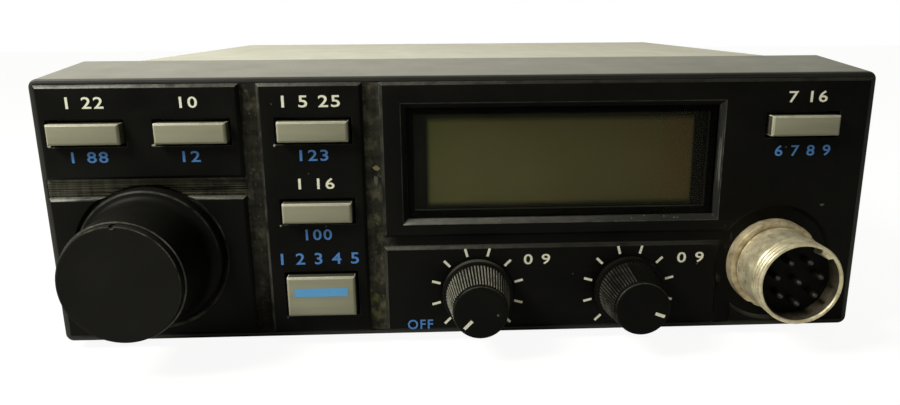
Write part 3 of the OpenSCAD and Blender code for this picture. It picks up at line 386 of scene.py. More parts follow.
def key_finish(node):
    """Warm grey key cap: soft horizontal streaks on its face and sides, and painted shade that darkens the
    sides into the opening.
    """
    low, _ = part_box(node)
    look = Look("key_plastic_" + node, shade(KEY_GREY, 0.86), 0.5, specular=0.3)
    look.paint(shade(KEY_GREY, 1.10), look.patches(150, 0.3, 0.75, 5, (0.22, 1, 2.4)))
    look.paint((0.10, 0.095, 0.07), look.specks(900, 0.12, 0.10), look.patches(90, 0.4, 0.7))
    # Painted shade: the sides darken behind the front, into the opening.
    look.paint((0.050, 0.048, 0.034), look.axis("Y", low.y + 0.35 * MM, low.y + 0.75 * MM))
    look.roughness(look.mottle(300, (0.3, 0.42), (0.8, 0.6)))
    look.bump(look.noise(3800, 3), 0.02 * MM, 0.4)
    return look


def nickel_finish(name, bright, dull, rough, crinkle=0.06 * MM):
    """Worn nickel plate, warm and scuffed, partly dulled through, with dark pits and a crinkled skin."""
    look = Look(name, bright, rough, metallic=0.62)
    look.paint(dull, look.patches(420, 0.38, 0.66, 6))
    look.paint((0.06, 0.05, 0.03), look.specks(1100, 0.20, 0.20))
    look.paint((0.12, 0.09, 0.05), look.patches(260, 0.60, 0.72, 6, (1, 2, 1)), 0.7)
    look.roughness(look.mottle(520, (0.3, rough - 0.08), (0.75, rough + 0.22), 6))
    look.bump(look.noise(2200, 5, (1, 0.35, 1)), 0.05 * MM, 0.7)
    look.bump(look.noise(900, 3), crinkle, 0.45)
    return look


def socket_finish():
    """The socket barrel's plate, with a line of dirt where it leaves its fixing ring."""
    look = nickel_finish("nickel", (0.92, 0.84, 0.61), (0.58, 0.50, 0.33), 0.38, 0.11 * MM)
    look.paint((0.02, 0.015, 0.01), look.window("Y", FACE_Y - 1.75 * MM, FACE_Y + 0.5 * MM, 0.35 * MM))
    return look


def pin_finish():
    """Contact pins, dark as painted shade deep in the barrel, with paler tips painted as a highlight."""
    low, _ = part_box("mic_socket_pins")
    look = Look("contact_pin", PIN_BLACK, 0.6, metallic=0.7)
    # Paler tips: a painted highlight.
    tip = look.axis("Y", low.y + 0.22 * MM, low.y + 0.02 * MM)
    look.paint((0.10, 0.095, 0.085), tip, look.patches(900, 0.35, 0.65))
    look.bump(look.noise(2200, 3), 0.03 * MM, 0.5)
    return look


def metal_finish(name, tone, rough, stretch=(1, 1, 1)):
    """Plain plated or cast metal with a light uneven sheen."""
    look = Look(name, tone, rough, metallic=1.0)
    look.paint(shade(tone, 0.72), look.patches(300, 0.35, 0.7, 6, stretch))
    look.roughness(look.mottle(800, (0.3, rough - 0.08), (0.8, rough + 0.14), 5, stretch))
    look.bump(look.noise(2200, 4, stretch), 0.03 * MM, 0.45)
    return look


def enamel_finish(name, tone, worn, rough=0.42):
    """Baked enamel on sheet: fine orange peel, faint scuffs and settled dust."""
    look = Look(name, tone, rough)
    look.paint(worn, look.patches(110, 0.48, 0.72, 7, (1, 0.3, 1)))
    look.paint(shade(tone, 0.6), look.specks(200, 0.07, 0.14))
    look.roughness(look.mottle(90, (0.3, rough - 0.08), (0.8, rough + 0.12), 5))
    look.bump(look.noise(1500, 3), 0.02 * MM, 0.5)
    return look


def display_finish():
    """Unlit liquid crystal: green at the left, browner to the right, with faint blotches, a few specks and
    a soft dark margin that is painted shadow from the recess round the glass."""
    low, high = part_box("lcd_glass")
    look = Look("display_glass", (0.148, 0.138, 0.060), 0.4, specular=0.1)
    look.paint((0.080, 0.066, 0.030), look.axis("X", low.x, high.x))
    look.paint((0.105, 0.128, 0.038), look.axis("X", low.x + 9 * MM, low.x + 2 * MM), 0.5)
    look.paint((0.135, 0.098, 0.042), look.patches(70, 0.35, 0.7), 0.25)
    look.paint((0.062, 0.058, 0.018), look.patches(45, 0.4, 0.75, 3), 0.25)
    look.paint((0.115, 0.066, 0.026), look.window("X", high.x - 7.5 * MM, high.x - 4 * MM, 1.6 * MM), 0.42)
    # Painted shadow: the glass darkens softly toward its margins, shaded by the recess.
    inside = look.times(look.window("X", low.x + 3.4 * MM, high.x - 2.2 * MM, 1.0 * MM),
                        look.window("Z", low.z + 3.8 * MM, high.z - 4.4 * MM, 1.2 * MM))
    look.tone = look.blend(inside, (0.016, 0.015, 0.008), look.tone)
    look.paint((0.17, 0.17, 0.12), look.specks(500, 0.10, 0.10), 0.7)
    look.roughness(look.mottle(200, (0.3, 0.34), (0.8, 0.5)))
    return look


def window_finish():
    """Thin clear acrylic with a few dull rubbed places."""
    look = Look("clear_window", (0.86, 0.87, 0.80), 0.06)
    put(look.shader, {"Transmission Weight": 1.0, "IOR": 1.12})
    look.roughness(look.mottle(160, (0.4, 0.03), (0.8, 0.14), 5))
    return look


def print_finish(name, tone):
    """Screen-printed ink or a small spot of dirt, with missing dots."""
    look = Look(name, tone, 0.55, specular=0.3)
    look.paint(shade(tone, 0.35), look.patches(2600, 0.70, 0.78, 3))
    return look


def board_finish():
    """Green circuit board with raised tracks."""
    look = Look("circuit_board", (0.018, 0.085, 0.04), 0.4)
    tracks = look.patches(500, 0.49, 0.52, 1, (1, 0.15, 1))
    look.paint((0.03, 0.15, 0.06), tracks)
    look.bump(tracks, 0.04 * MM, 0.5)
    return look


def plain_finish(name, tone, rough, specular=0.4):
    """Small moulded or sleeved pieces: mottled tone and fine grain."""
    look = Look(name, tone, rough, specular=specular)
    look.paint(shade(tone, 1.35, 0.01), look.patches(350, 0.35, 0.75, 5))
    look.bump(look.noise(2600, 3), 0.02 * MM, 0.5)
    return look


# What each finish function takes, under the finish's name.
# Black mouldings: tone, roughness, specular level, dust, share of specks
BLACKS = {
    "inner_black": ((0.0042, 0.0040, 0.0034), 0.55, 0.08, 0.0, 0.01),
    "knob_plastic": ((0.0023, 0.0023, 0.0020), 0.50, 0.07, 0.04, 0.01),
    "dusty_knob_plastic": ((0.0029, 0.0029, 0.0025), 0.5, 0.09, 0.6),
    "knob_cap": ((0.0042, 0.0042, 0.0035), 0.54, 0.09, 0.1, 0.02),
}
# Rubbed edges with painted highlights: tone, bare and lit tone, roughness, specular level, cover, share
# upwards, share all round,
# # fade. The paler tone is partly wear and partly a painted highlight toward the lamp; the fade paints its
# falloff.
EDGES = {
    "worn_edge": (EDGE_BLACK, EDGE_BARE_AND_LIT, 0.42, 0.3, 0.42, 1.0, 0.0, (-60 * MM, 15 * MM)),
    "key_edge": (KEY_GREY, (0.60, 0.59, 0.48), 0.40, 0.35, 0.36),
    "knob_rib": ((0.030, 0.029, 0.024), (0.30, 0.29, 0.24), 0.42, 0.2, 0.38),
    "dark_rib": (EDGE_BLACK, EDGE_BARE_AND_LIT, 0.42, 0.2, 0.44, 0.25),
    "knob_edge": ((0.003, 0.003, 0.0027), (0.060, 0.060, 0.050), 0.5, 0.08, 0.48),
    "dial_edge": ((0.008, 0.008, 0.007), (0.36, 0.35, 0.30), 0.4, 0.3, 0.40, 1.0, 0.22),
    "cap_edge": ((0.004, 0.004, 0.0035), (0.26, 0.255, 0.22), 0.45, 0.1, 0.46),
}
# Nickel: bright tone, dull tone, roughness, crinkle
PLATES = {
    "tarnished_plate": ((0.09, 0.075, 0.05), (0.04, 0.032, 0.02), 0.5),
    "antenna_plate": ((0.72, 0.68, 0.56), (0.44, 0.41, 0.32), 0.38, 0.04 * MM),
    "nickel_ring": ((0.72, 0.62, 0.42), (0.40, 0.32, 0.19), 0.46, 0.12 * MM),
}
# Other metals: tone, roughness, stretch of their streaks
METALS = {
    "contact_metal": ((0.66, 0.60, 0.45), 0.3),
    "cast_aluminium": ((0.52, 0.53, 0.54), 0.5),
    "plated_steel": ((0.55, 0.55, 0.52), 0.34),
    "tinned_steel": ((0.60, 0.61, 0.62), 0.35),
    "shaft_steel": ((0.58, 0.58, 0.57), 0.25, (1, 0.1, 1)),
    "speaker_steel": ((0.16, 0.165, 0.17), 0.45),
    "brass_insert": ((0.58, 0.42, 0.18), 0.35),
}
# Enamels: tone, worn tone, roughness
ENAMELS = {
    # The covers' pale grey is partly their enamel and partly a painted sheen for the glancing light on the
    # top cover.
    "cover_paint": ((0.47, 0.46, 0.39), (0.54, 0.53, 0.46)),
    "sink_paint": ((0.012, 0.012, 0.012), (0.035, 0.035, 0.033), 0.5),
}
# Inks and flecks: tone
INKS = {
    "white_print": ((0.76, 0.75, 0.62),),
    "blue_print": ((0.07, 0.21, 0.54),),
    "blue_bar": ((0.10, 0.34, 0.66),),
    "bare_fleck": ((0.30, 0.29, 0.24),),
    "faint_fleck": ((0.075, 0.073, 0.062),),
    "yellow_fleck": ((0.17, 0.15, 0.065),),
}
# Plain pieces: tone, roughness, specular level
PLAINS = {
    "black_rubber": ((0.012, 0.012, 0.012), 0.75, 0.2),
    "component_body": ((0.02, 0.02, 0.022), 0.5),
    "capacitor_sleeve": ((0.02, 0.03, 0.11), 0.3, 0.5),
    "light_guide": ((0.55, 0.58, 0.50), 0.3),
    "lamp_glass": ((0.60, 0.54, 0.34), 0.2),
    "contact_rubber": ((0.42, 0.42, 0.39), 0.7),
    "insulator": ((0.60, 0.56, 0.48), 0.4),
    "speaker_paper": ((0.02, 0.02, 0.02), 0.85, 0.2),
    "ferrite": ((0.03, 0.03, 0.032), 0.6),
    "ribbon": ((0.33, 0.33, 0.31), 0.45),
}
KINDS = ((moulded_black, BLACKS), (edge_finish, EDGES), (nickel_finish, PLATES), (metal_finish, METALS),
         (enamel_finish, ENAMELS), (print_finish, INKS), (plain_finish, PLAINS))
SINGLE = (bezel_finish, panel_finish, display_lit_edge_finish, display_shade_finish, socket_finish, pin_finish,
          display_finish, window_finish, board_finish)
KEYS = ("dial_key", "memory_key", "power_key", "watch_key", "function_key", "call_key")


def make_finishes():
    """Every finish's material under its name."""
    looks = [make() for make in SINGLE]
    for make, rows in KINDS:
        looks += [make(name, *row) for name, row in rows.items()]
    looks += [key_finish(node) for node in KEYS]
    return {look.name: look.material for look in looks}


# The CAD nodes of each finish. The key caps and the plungers follow from their names.
FINISH_NODES = {
    "bezel_moulding": ("front_bezel",),
    "panel_moulding": ("front_panel",),
    "clear_window": ("display_window",),
    "display_glass": ("lcd_glass",),
    "inner_black": ("lcd_holder", "mic_socket_insert"),
    "knob_plastic": ("channel_knob", "volume_knob", "squelch_knob"),
    "knob_cap": ("channel_knob_cap",),
    "nickel": ("mic_socket_shell",),
    "nickel_ring": ("mic_socket_ring",),
    "contact_pin": ("mic_socket_pins",),
    "cover_paint": ("top_cover", "bottom_cover"),
    "sink_paint": ("heat_sink",),
    "cast_aluminium": ("chassis",),
    "plated_steel": ("bezel_screws", "shaft_nuts", "cover_screws", "board_screws", "rear_screws"),
    "tinned_steel": ("channel_encoder", "volume_pot", "squelch_pot", "shield_cans"),
    "shaft_steel": ("channel_shaft", "volume_shaft", "squelch_shaft"),
    "speaker_steel": ("speaker_frame",),
    "brass_insert": ("bracket_inserts",),
    "antenna_plate": ("antenna_socket",),
    "contact_metal": ("antenna_contact",),
    "circuit_board": ("front_board", "main_board"),
    "component_body": ("key_switches", "power_module", "speaker_jack"),
    "capacitor_sleeve": ("capacitors",),
    "black_rubber": ("bezel_gasket", "power_grommet"),
    "contact_rubber": ("lcd_contact_strips",),
    "light_guide": ("backlight_guide",),
    "lamp_glass": ("backlight_lamps",),
    "insulator": ("antenna_insulator", *(node for node in nodes if node.endswith("_plunger"))),
    "speaker_paper": ("speaker_cone",),
    "ferrite": ("speaker_magnet",),
    "ribbon": ("ribbon_cable",),
}


def paint_nodes():
    for name, painted in FINISH_NODES.items():
        for node in painted:
            materials = nodes[node].data.materials
            materials.clear()
            materials.append(finishes[name])


# ---------------- mesh helpers

def mesh_of(bm, name):
    mesh = bpy.data.meshes.new(name)
    bm.to_mesh(mesh)
    bm.free()
    return mesh


def one_face(name, corners):
    mesh = bpy.data.meshes.new(name)
    mesh.from_pydata(corners, [], [tuple(range(len(corners)))])
    return mesh


def add_object(name, data):
    ob = bpy.data.objects.new(name, data)
    bpy.context.scene.collection.objects.link(ob)
    return ob


def finish_object(name, mesh, materials, body, smooth_angle=35):
    """Adds a mesh as a piece that rides on a body, shaded smooth up to an angle."""
    piece = add_object(name, mesh)
    for key in materials:
        mesh.materials.append(finishes[key])
    for polygon in mesh.polygons:
        polygon.use_smooth = True
    mesh.set_sharp_from_angle(angle=math.radians(smooth_angle))
    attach(piece, body)
    return piece


def stand_in(node):
    """Hides a CAD node that a piece stands in for."""
    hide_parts(node)


def centre_of(node):
    """Middle of a node's front, as (x, z)."""
    low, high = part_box(node)
    return (low.x + high.x) / 2, (low.z + high.z) / 2


def mean_width(face):
    return face.calc_area() / max(edge.calc_length() for edge in face.edges)


def is_open_edge(edge, width):
    """Whether an edge is sharp and its two faces are wide enough to take a rounding."""
    if len(edge.link_faces) != 2 or edge.calc_face_angle(0) < SHARP_ANGLE:
        return False
    return min(mean_width(face) for face in edge.link_faces) > 2.2 * width


def faces_up_or_left(face):
    return face.normal.z > 0.25 or face.normal.x < -0.25


def rounded_copy(node, width, materials, flat_over=None):
    """A copy of a CAD node with its sharp edges rounded off. The second finish goes to the roundings that
    face up or left, toward the lamp, so that where it is paler it is a painted highlight. Faces larger than
    flat_over are shaded flat."""
    bm = bmesh.new()
    bm.from_mesh(nodes[node].data)
    bmesh.ops.remove_doubles(bm, verts=bm.verts, dist=0.002 * MM)
    bmesh.ops.dissolve_limit(bm, angle_limit=math.radians(0.6), verts=bm.verts, edges=bm.edges)
    for face in bm.faces:
        face.material_index = 0
    sharp = [edge for edge in bm.edges if is_open_edge(edge, width)]
    bmesh.ops.bevel(bm, geom=sharp, offset=width, segments=2, profile=0.5,
                    affect="EDGES", clamp_overlap=False, material=1)
    bm.normal_update()
    for face in bm.faces:
        if face.material_index == 1 and not faces_up_or_left(face):
            face.material_index = 0
    mesh = mesh_of(bm, node + "_shape")
    piece = finish_object(node + "_shape", mesh, materials, nodes[node]["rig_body"])
    if flat_over:
        for polygon in mesh.polygons:
            polygon.use_smooth = polygon.area < flat_over
    stand_in(node)
    return piece


def front_panel():
    """The panel: its chamfers that face up or left get worn patches with a painted highlight, apart from
    those near the socket and at the left end, and the slopes round the display have finishes of their own:
    painted light on those that face the lamp, plain black on the others."""
    piece = rounded_copy("front_panel", PANEL_ROUNDING,
                         ("panel_moulding", "worn_edge", "display_lit_edge", "display_shade"))
    low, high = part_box("display_window")
    edge = DISPLAY_FRAME_W
    socket_x, socket_z = centre_of("mic_socket_shell")
    for face in piece.data.polygons:
        x, y, z = face.center
        to_left = face.normal.x < -0.4
        by_socket = math.hypot(x - socket_x, z - socket_z) < SOCKET_CLEAR_R
        at_end = to_left and x < PANEL_LOW.x + 1.5 * MM
        near = low.x - edge < x < high.x + edge and low.z - edge < z < high.z + edge
        inside = low.x < x < high.x and low.z < z < high.z
        sloping = abs(face.normal.y) < 0.95 and y < low.y + 0.3 * MM
        if near and not inside and sloping:
            # Slopes that face the lamp take the painted light, the others the plain shaded finish.
            lit = face.normal.z > 0.2 or face.normal.x < -0.2
            face.material_index = 2 if lit else 3
        elif by_socket or at_end:
            face.material_index = 0
        elif face.normal.y < -0.3 and (face.normal.z > 0.4 or to_left):
            face.material_index = 1


def turned(name, at, profile, materials, body, sides, ripple=None, finish_of=None):
    """A turned mesh about an axis along the depth. Profile points are (radius, depth) from front to back.
    ripple(ring, angle) scales a ring's radius, and finish_of(ring, angle) picks the finish of the faces
    after it. An angle runs clockwise from the top, seen from the front."""
    bm = bmesh.new()
    angles = [2 * math.pi * step / sides for step in range(sides)]
    rings = []
    for ring, (radius, depth) in enumerate(profile):
        if radius <= 0:
            rings.append([bm.verts.new((at[0], depth, at[1]))])
            continue
        verts = []
        for angle in angles:
            r = radius * (ripple(ring, angle) if ripple else 1)
            verts.append(bm.verts.new((at[0] + r * math.sin(angle), depth, at[1] + r * math.cos(angle))))
        rings.append(verts)
    for ring, (first, second) in enumerate(zip(rings, rings[1:])):
        join_rings(bm, first, second, [finish_of(ring, angle) if finish_of else 0 for angle in angles])
    bmesh.ops.recalc_face_normals(bm, faces=bm.faces)
    return finish_object(name, mesh_of(bm, name), materials, body, 40)


def join_rings(bm, first, second, picks):
    """Faces between two rings, of which one may be a single point, with a finish for each face."""
    for step, finish in enumerate(picks):
        after = (step + 1) % len(picks)
        if len(first) == 1:
            corners = (first[0], second[step], second[after])
        elif len(second) == 1:
            corners = (first[step], second[0], first[after])
        else:
            corners = (first[step], second[step], second[after], first[after])
        bm.faces.new(corners).material_index = finish


def turned_node(node, profile, materials, sides, ripple=None, finish_of=None):
    """A turned mesh on a CAD node's axis that stands in for it."""
    piece = turned(node + "_shape", centre_of(node), profile, materials, nodes[node]["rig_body"],
                   sides, ripple, finish_of)
    stand_in(node)
    return piece


# ---------------- knobs

def small_knob(node, rib_finish, flange_finish, worn_lit_to=2.0):
    """Ribbed knob: round flange, tapered ribbed body and a smooth front cap. Its rib crests take the rib
    finish, worn patches with a painted highlight, where the sine of their angle is under the given limit; a
    limit below zero keeps that painted highlight to the left side, toward the lamp."""
    low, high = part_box(node)
    ribs = 60
    flange_r = (high.x - low.x) / 2
    front_r = 5.3 * MM
    back_r = 6.45 * MM
    y_front = low.y
    y_back = high.y
    y_flange = y_back - 1.4 * MM
    y_ribs = y_front + 0.9 * MM
    cap = [(0, y_front + 0.05 * MM), (front_r - 1.2 * MM, y_front + 0.04 * MM),
           (front_r - 0.35 * MM, y_front), (front_r - 0.16 * MM, y_front + 0.08 * MM),
           (front_r, y_front + 0.3 * MM), (front_r + 0.04 * MM, y_ribs)]
    cap_edge = 3
    body_r = front_r + 0.14 * MM
    steps = 5
    body = []
    for step in range(steps + 1):
        t = step / steps
        body.append((body_r + t * (back_r - body_r), y_ribs + 0.2 * MM + t * (y_flange - y_ribs - 0.5 * MM)))
    foot = [(back_r + 0.02 * MM, y_flange - 0.06 * MM), (flange_r - 0.35 * MM, y_flange),
            (flange_r - 0.1 * MM, y_flange + 0.1 * MM), (flange_r, y_flange + 0.35 * MM),
            (flange_r, y_back), (3.2 * MM, y_back), (0, y_back)]
    first_rib = len(cap)
    last_rib = first_rib + len(body) - 1
    groove_depth = 0.045

    def ripple(ring, angle):
        if not first_rib <= ring <= last_rib:
            return 1
        wave = max(-1.0, min(1.0, 1.7 * math.cos(angle * ribs)))
        return 1 - groove_depth * (0.5 - 0.5 * wave)

    def finish_of(ring, angle):
        if ring == cap_edge:
            return 1
        if ring > last_rib:
            return 3
        on_rib = first_rib <= ring < last_rib and math.cos((angle + math.pi / ribs / 8) * ribs) > 0.35
        # Paler crests only where the limit allows: a painted highlight on the side toward the lamp.
        return 2 if on_rib and math.sin(angle) < worn_lit_to else 0

    finish_names = ("knob_plastic", "knob_edge", rib_finish, flange_finish)
    turned_node(node, cap + body + foot, finish_names, ribs * 8, ripple, finish_of)


def channel_dial():
    """Plain dial: a skirt in its pocket, a fillet and a long body whose front edge has rubbed patches and a
    painted highlight.
    """
    low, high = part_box("channel_knob")
    skirt = (high.x - low.x) / 2
    body_r = 11.5 * MM
    root_r = body_r + 0.4 * MM
    y_skirt = high.y - 3.0 * MM
    fillet = 2.0 * MM
    profile = [(0, low.y), (body_r - 0.4 * MM, low.y), (body_r - 0.12 * MM, low.y + 0.08 * MM),
               (body_r, low.y + 0.3 * MM), (root_r, y_skirt - fillet)]
    for step in range(1, 7):
        angle = step * math.pi / 12
        profile.append((root_r + fillet * (1 - math.cos(angle)) * 0.8,
                        y_skirt - fillet * (1 - math.sin(angle))))
    profile += [(skirt - 0.55 * MM, y_skirt + 0.03 * MM), (skirt - 0.2 * MM, y_skirt + 0.22 * MM),
                (skirt, y_skirt + 0.6 * MM), (skirt, high.y - 0.3 * MM),
                (skirt - 0.3 * MM, high.y), (0, high.y)]
    front_edge = 1
    skirt_edge = len(profile) - 6
    turned_node("channel_knob", profile, ("knob_plastic", "knob_edge", "dial_edge"), 160,
                finish_of=lambda ring, angle: {front_edge: 2, skirt_edge: 1}.get(ring, 0))


def dial_disc():
    """The dial's front disc: a shallow dished face, a thin rim with rubbed patches and a painted highlight on
    its upper side, and a small index notch at its top.
    """
    low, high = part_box("channel_knob_cap")
    r = (high.x - low.x) / 2
    profile = [(0, low.y + 0.08 * MM), (r * 0.5, low.y + 0.07 * MM), (r - 0.7 * MM, low.y + 0.05 * MM),
               (r - 0.36 * MM, low.y), (r - 0.14 * MM, low.y + 0.06 * MM), (r, low.y + 0.3 * MM),
               (r, high.y - 0.35 * MM), (r - 0.3 * MM, high.y), (0, high.y)]
    rim = 3
    notch_half = 0.03
    notch_share = 0.965

    def ripple(ring, angle):
        near_top = min(angle, 2 * math.pi - angle)
        return notch_share if rim <= ring <= rim + 3 and near_top < notch_half else 1

    turned_node("channel_knob_cap", profile, ("knob_cap", "cap_edge"), 288, ripple,
                lambda ring, angle: 1 if ring == rim else 0)


# ---------------- sockets

def threads(radius, depth, pitch, y_from, y_to):
    """Profile points of a run of V grooves between two depths."""
    count = int(abs(y_to - y_from) / pitch)
    step = (y_to - y_from) / count
    points = []
    for turn in range(count):
        y = y_from + (y_to - y_from) * turn / count
        points += [(radius, y + 0.15 * step), (radius - depth, y + 0.5 * step), (radius, y + 0.85 * step)]
    return points


def mic_socket():
    """Microphone socket's barrel: rolled lip, three thread grooves, a plain scuffed band and a key ridge
    inside."""
    low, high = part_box("mic_socket_shell")
    outer = 8.2 * MM
    inner = 7.4 * MM
    root = 8.0 * MM
    flange = (high.x - low.x) / 2
    y0 = low.y
    y_seam = y0 + 9 * MM
    y_root = FACE_Y - 1.6 * MM
    y_flange = FACE_Y + 3.2 * MM
    profile = [(inner, y_seam), (inner, y0 + 0.35 * MM), (inner + 0.15 * MM, y0 + 0.08 * MM),
               (inner + 0.4 * MM, y0), (outer - 0.15 * MM, y0 + 0.08 * MM), (outer, y0 + 0.35 * MM)]
    profile += threads(outer, 0.24 * MM, 0.95 * MM, y0 + 0.6 * MM, y0 + 3.6 * MM)
    profile += [(outer, y0 + 3.9 * MM), (outer, y_root - 0.2 * MM), (root, y_root), (root, y_flange),
                (flange, y_flange), (flange, y_flange + 1.5 * MM), (root, y_flange + 1.5 * MM),
                (root, high.y), (inner, high.y), (inner, y_seam)]
    inner_wall = (0, len(profile) - 2)
    piece = turned_node("mic_socket_shell", profile, ("nickel", "tarnished_plate"), 144,
                        finish_of=lambda ring, angle: 1 if ring in inner_wall else 0)
    add_key_ridge(piece, centre_of("mic_socket_shell"), y0, inner)


def add_key_ridge(piece, at, y0, inner):
    """Locking ridge inside the barrel, at the upper right: a wedge that is widest at the lip."""
    angle = math.radians(38)
    out = Vector((math.sin(angle), 0, math.cos(angle)))
    side = Vector((math.cos(angle), 0, -math.sin(angle)))
    centre = Vector((at[0], 0, at[1]))
    foot = inner + 0.1 * MM
    bm = bmesh.new()
    bm.from_mesh(piece.data)
    ends = []
    for y, half, rise in ((y0 + 0.12 * MM, 1.5 * MM, 0.7 * MM), (y0 + 4.0 * MM, 0.8 * MM, 1.0 * MM)):
        ring = []
        for s, r in ((-1, foot), (-0.5, inner - rise), (0.5, inner - rise), (1, foot)):
            point = centre + out * r + side * (s * half)
            ring.append(bm.verts.new((point.x, y, point.z)))
        ends.append(ring)
    bm.faces.new(ends[0])
    bm.faces.new(list(reversed(ends[1])))
    for i in range(4):
        j = (i + 1) % 4
        bm.faces.new((ends[0][j], ends[0][i], ends[1][i], ends[1][j]))
    bm.to_mesh(piece.data)
    bm.free()


def mic_ring():
    """Fixing ring at the barrel's root, its edge chipped and uneven."""
    low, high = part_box("mic_socket_ring")
    r = (high.x - low.x) / 2
    inner = 8.02 * MM
    profile = [(inner, low.y), (r - 0.55 * MM, low.y), (r - 0.15 * MM, low.y + 0.15 * MM),
               (r, low.y + 0.45 * MM), (r, high.y), (inner, high.y), (inner, low.y)]
    edge_rings = (1, 2, 3)
    chips = [(random.uniform(0, 2 * math.pi), random.uniform(0.05, 0.16), random.uniform(0.01, 0.035))
             for _ in range(9)]

    def ripple(ring, angle):
        if ring not in edge_rings:
            return 1
        cut = 0
        for place, width, depth in chips:
            gap = abs((angle - place + math.pi) % (2 * math.pi) - math.pi)
            cut = max(cut, depth * max(0.0, 1 - gap / width))
        return 1 - cut

    turned_node("mic_socket_ring", profile, ("nickel_ring",), 192, ripple)


def antenna_socket():
    """Antenna socket: square flange with rounded edges and a threaded barrel."""
    low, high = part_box("antenna_socket")
    at = centre_of("antenna_socket")
    outer = 7.94 * MM
    inner = 6.44 * MM
    root = outer - 0.4 * MM
    y_flange = high.y - 16 * MM
    flange = flange_plate("antenna_flange", at, (high.x - low.x) / 2, y_flange - 2 * MM, y_flange)
    profile = [(inner, y_flange - 1 * MM), (inner, high.y - 0.2 * MM), (inner + 0.2 * MM, high.y),
               (outer - 0.5 * MM, high.y), (outer, high.y - 0.5 * MM)]
    profile += threads(outer, 0.4 * MM, 1.06 * MM, high.y - 0.6 * MM, y_flange + 2.4 * MM)
    profile += [(root, y_flange + 2.2 * MM), (root, y_flange + 0.6 * MM),
                (outer, y_flange), (outer, y_flange - 0.5 * MM)]
    barrel = turned("antenna_barrel", at, profile, ("antenna_plate",), "housing", 128)
    stand_in("antenna_socket")


def flange_plate(name, at, half, y0, y1):
    """A square plate with round corners and softened edges."""
    bm = bmesh.new()
    bmesh.ops.create_cube(bm, size=1)
    for vert in bm.verts:
        vert.co = Vector((at[0] + vert.co.x * 2 * half, (y0 + y1) / 2 + vert.co.y * (y1 - y0),
                          at[1] + vert.co.z * 2 * half))
    upright = [e for e in bm.edges if abs(e.verts[0].co.y - e.verts[1].co.y) > 0.5 * (y1 - y0)]
    bmesh.ops.bevel(bm, geom=upright, offset=2.2 * MM, segments=6, profile=0.5, affect="EDGES")
    rim = [e for e in bm.edges if e.calc_face_angle(0) > math.radians(50)]
    bmesh.ops.bevel(bm, geom=rim, offset=0.3 * MM, segments=2, profile=0.5, affect="EDGES")
    return finish_object(name, mesh_of(bm, name), ("antenna_plate",), "housing")


# ---------------- prints

# Printed places on the panel in millimetres, as (name, words, finish, x0, x1, z0, z1)
PRINTS = (
    ("mark_1", "1 22", "white_print", -74.4, -67.4, 49.35, 51.55),
    ("mark_2", "10", "white_print", -54.1, -49.3, 49.30, 51.45),
    ("mark_3", "1 5 25", "white_print", -35.3, -22.3, 49.15, 51.45),
    ("mark_4", "1 16", "white_print", -32.6, -24.6, 33.20, 35.40),
    ("mark_5", "7 16", "white_print", 62.8, 72.3, 49.05, 51.30),
    ("mark_11", "1 88", "blue_print", -74.9, -67.4, 39.00, 41.15),
    ("mark_12", "12", "blue_print", -53.9, -50.2, 38.95, 41.10),
    ("mark_13", "123", "blue_print", -31.5, -26.0, 38.80, 41.00),
    ("mark_14", "100", "blue_print", -31.3, -26.1, 22.80, 25.05),
    ("mark_15", "1 2 3 4 5", "blue_print", -36.5, -21.0, 17.75, 20.15),
    ("mark_17", "6 7 8 9", "blue_print", 61.9, 73.1, 38.45, 40.65),
    ("mark_18", "0 9", "white_print", 12.0, 17.8, 16.85, 19.05),
    ("mark_19", "0 9", "white_print", 43.4, 49.5, 16.60, 18.85),
    ("mark_off", "OFF", "blue_print", -11.6, -6.4, 3.25, 5.35),
)
TICK_ANGLES = range(-135, 136, 30)
TICK_R = 8.69 * MM
TICK_L = 1.75 * MM
TICK_W = 0.5 * MM
POINTER_W = 0.62 * MM
BAR_Z = 12.4 * MM
BAR_L = 10.6 * MM
BAR_W = 1.75 * MM


def print_text(name, words, box, finish):
    """Plain numbers that fill a box (x0, x1, z0, z1) in millimetres on the panel's face."""
    curve = bpy.data.curves.new(name, "FONT")
    curve.body = words
    curve.size = 1.0
    curve.offset = 0.014
    curve.space_character = 1.15
    curve.resolution_u = 3
    temp = add_object(name, curve)
    mesh = bpy.data.meshes.new_from_object(temp)
    bpy.data.objects.remove(temp)
    xs = [v.co.x for v in mesh.vertices]
    ys = [v.co.y for v in mesh.vertices]
    x0, x1, z0, z1 = box
    tall = (z1 - z0) * MM / (max(ys) - min(ys))
    wide = (x1 - x0) * MM / (max(xs) - min(xs))
    wide = max(0.8 * tall, min(1.3 * tall, wide))
    middle = (max(xs) + min(xs)) / 2
    for vert in mesh.vertices:
        vert.co = Vector(((x0 + x1) / 2 * MM + (vert.co.x - middle) * wide, FACE_Y - PRINT_T,
                          z0 * MM + (vert.co.y - min(ys)) * tall))
    mesh.name = name
    finish_object(name, mesh, (finish,), "housing")


def flat_piece(name, corners, finish, body="housing"):
    finish_object(name, one_face(name, corners), (finish,), body)


def print_bar(name, centre, length, width, angle, finish, depth=FACE_Y, body="housing"):
    """A thin printed bar about a centre (x, z) in metres, its length turned by an angle from upright."""
    along = Vector((math.sin(angle), 0, math.cos(angle)))
    across = Vector((math.cos(angle), 0, -math.sin(angle)))
    middle = Vector((centre[0], depth - PRINT_T, centre[1]))
    corners = [tuple(middle + along * (b * length / 2) + across * (a * width / 2))
               for a, b in ((-1, -1), (1, -1), (1, 1), (-1, 1))]
    flat_piece(name, corners, finish, body)


def beside_axis(node, radius, angle):
    """The point (x, z) at a radius and an angle, clockwise from the top, about a node's axis."""
    x, z = centre_of(node)
    return x + radius * math.sin(angle), z + radius * math.cos(angle)


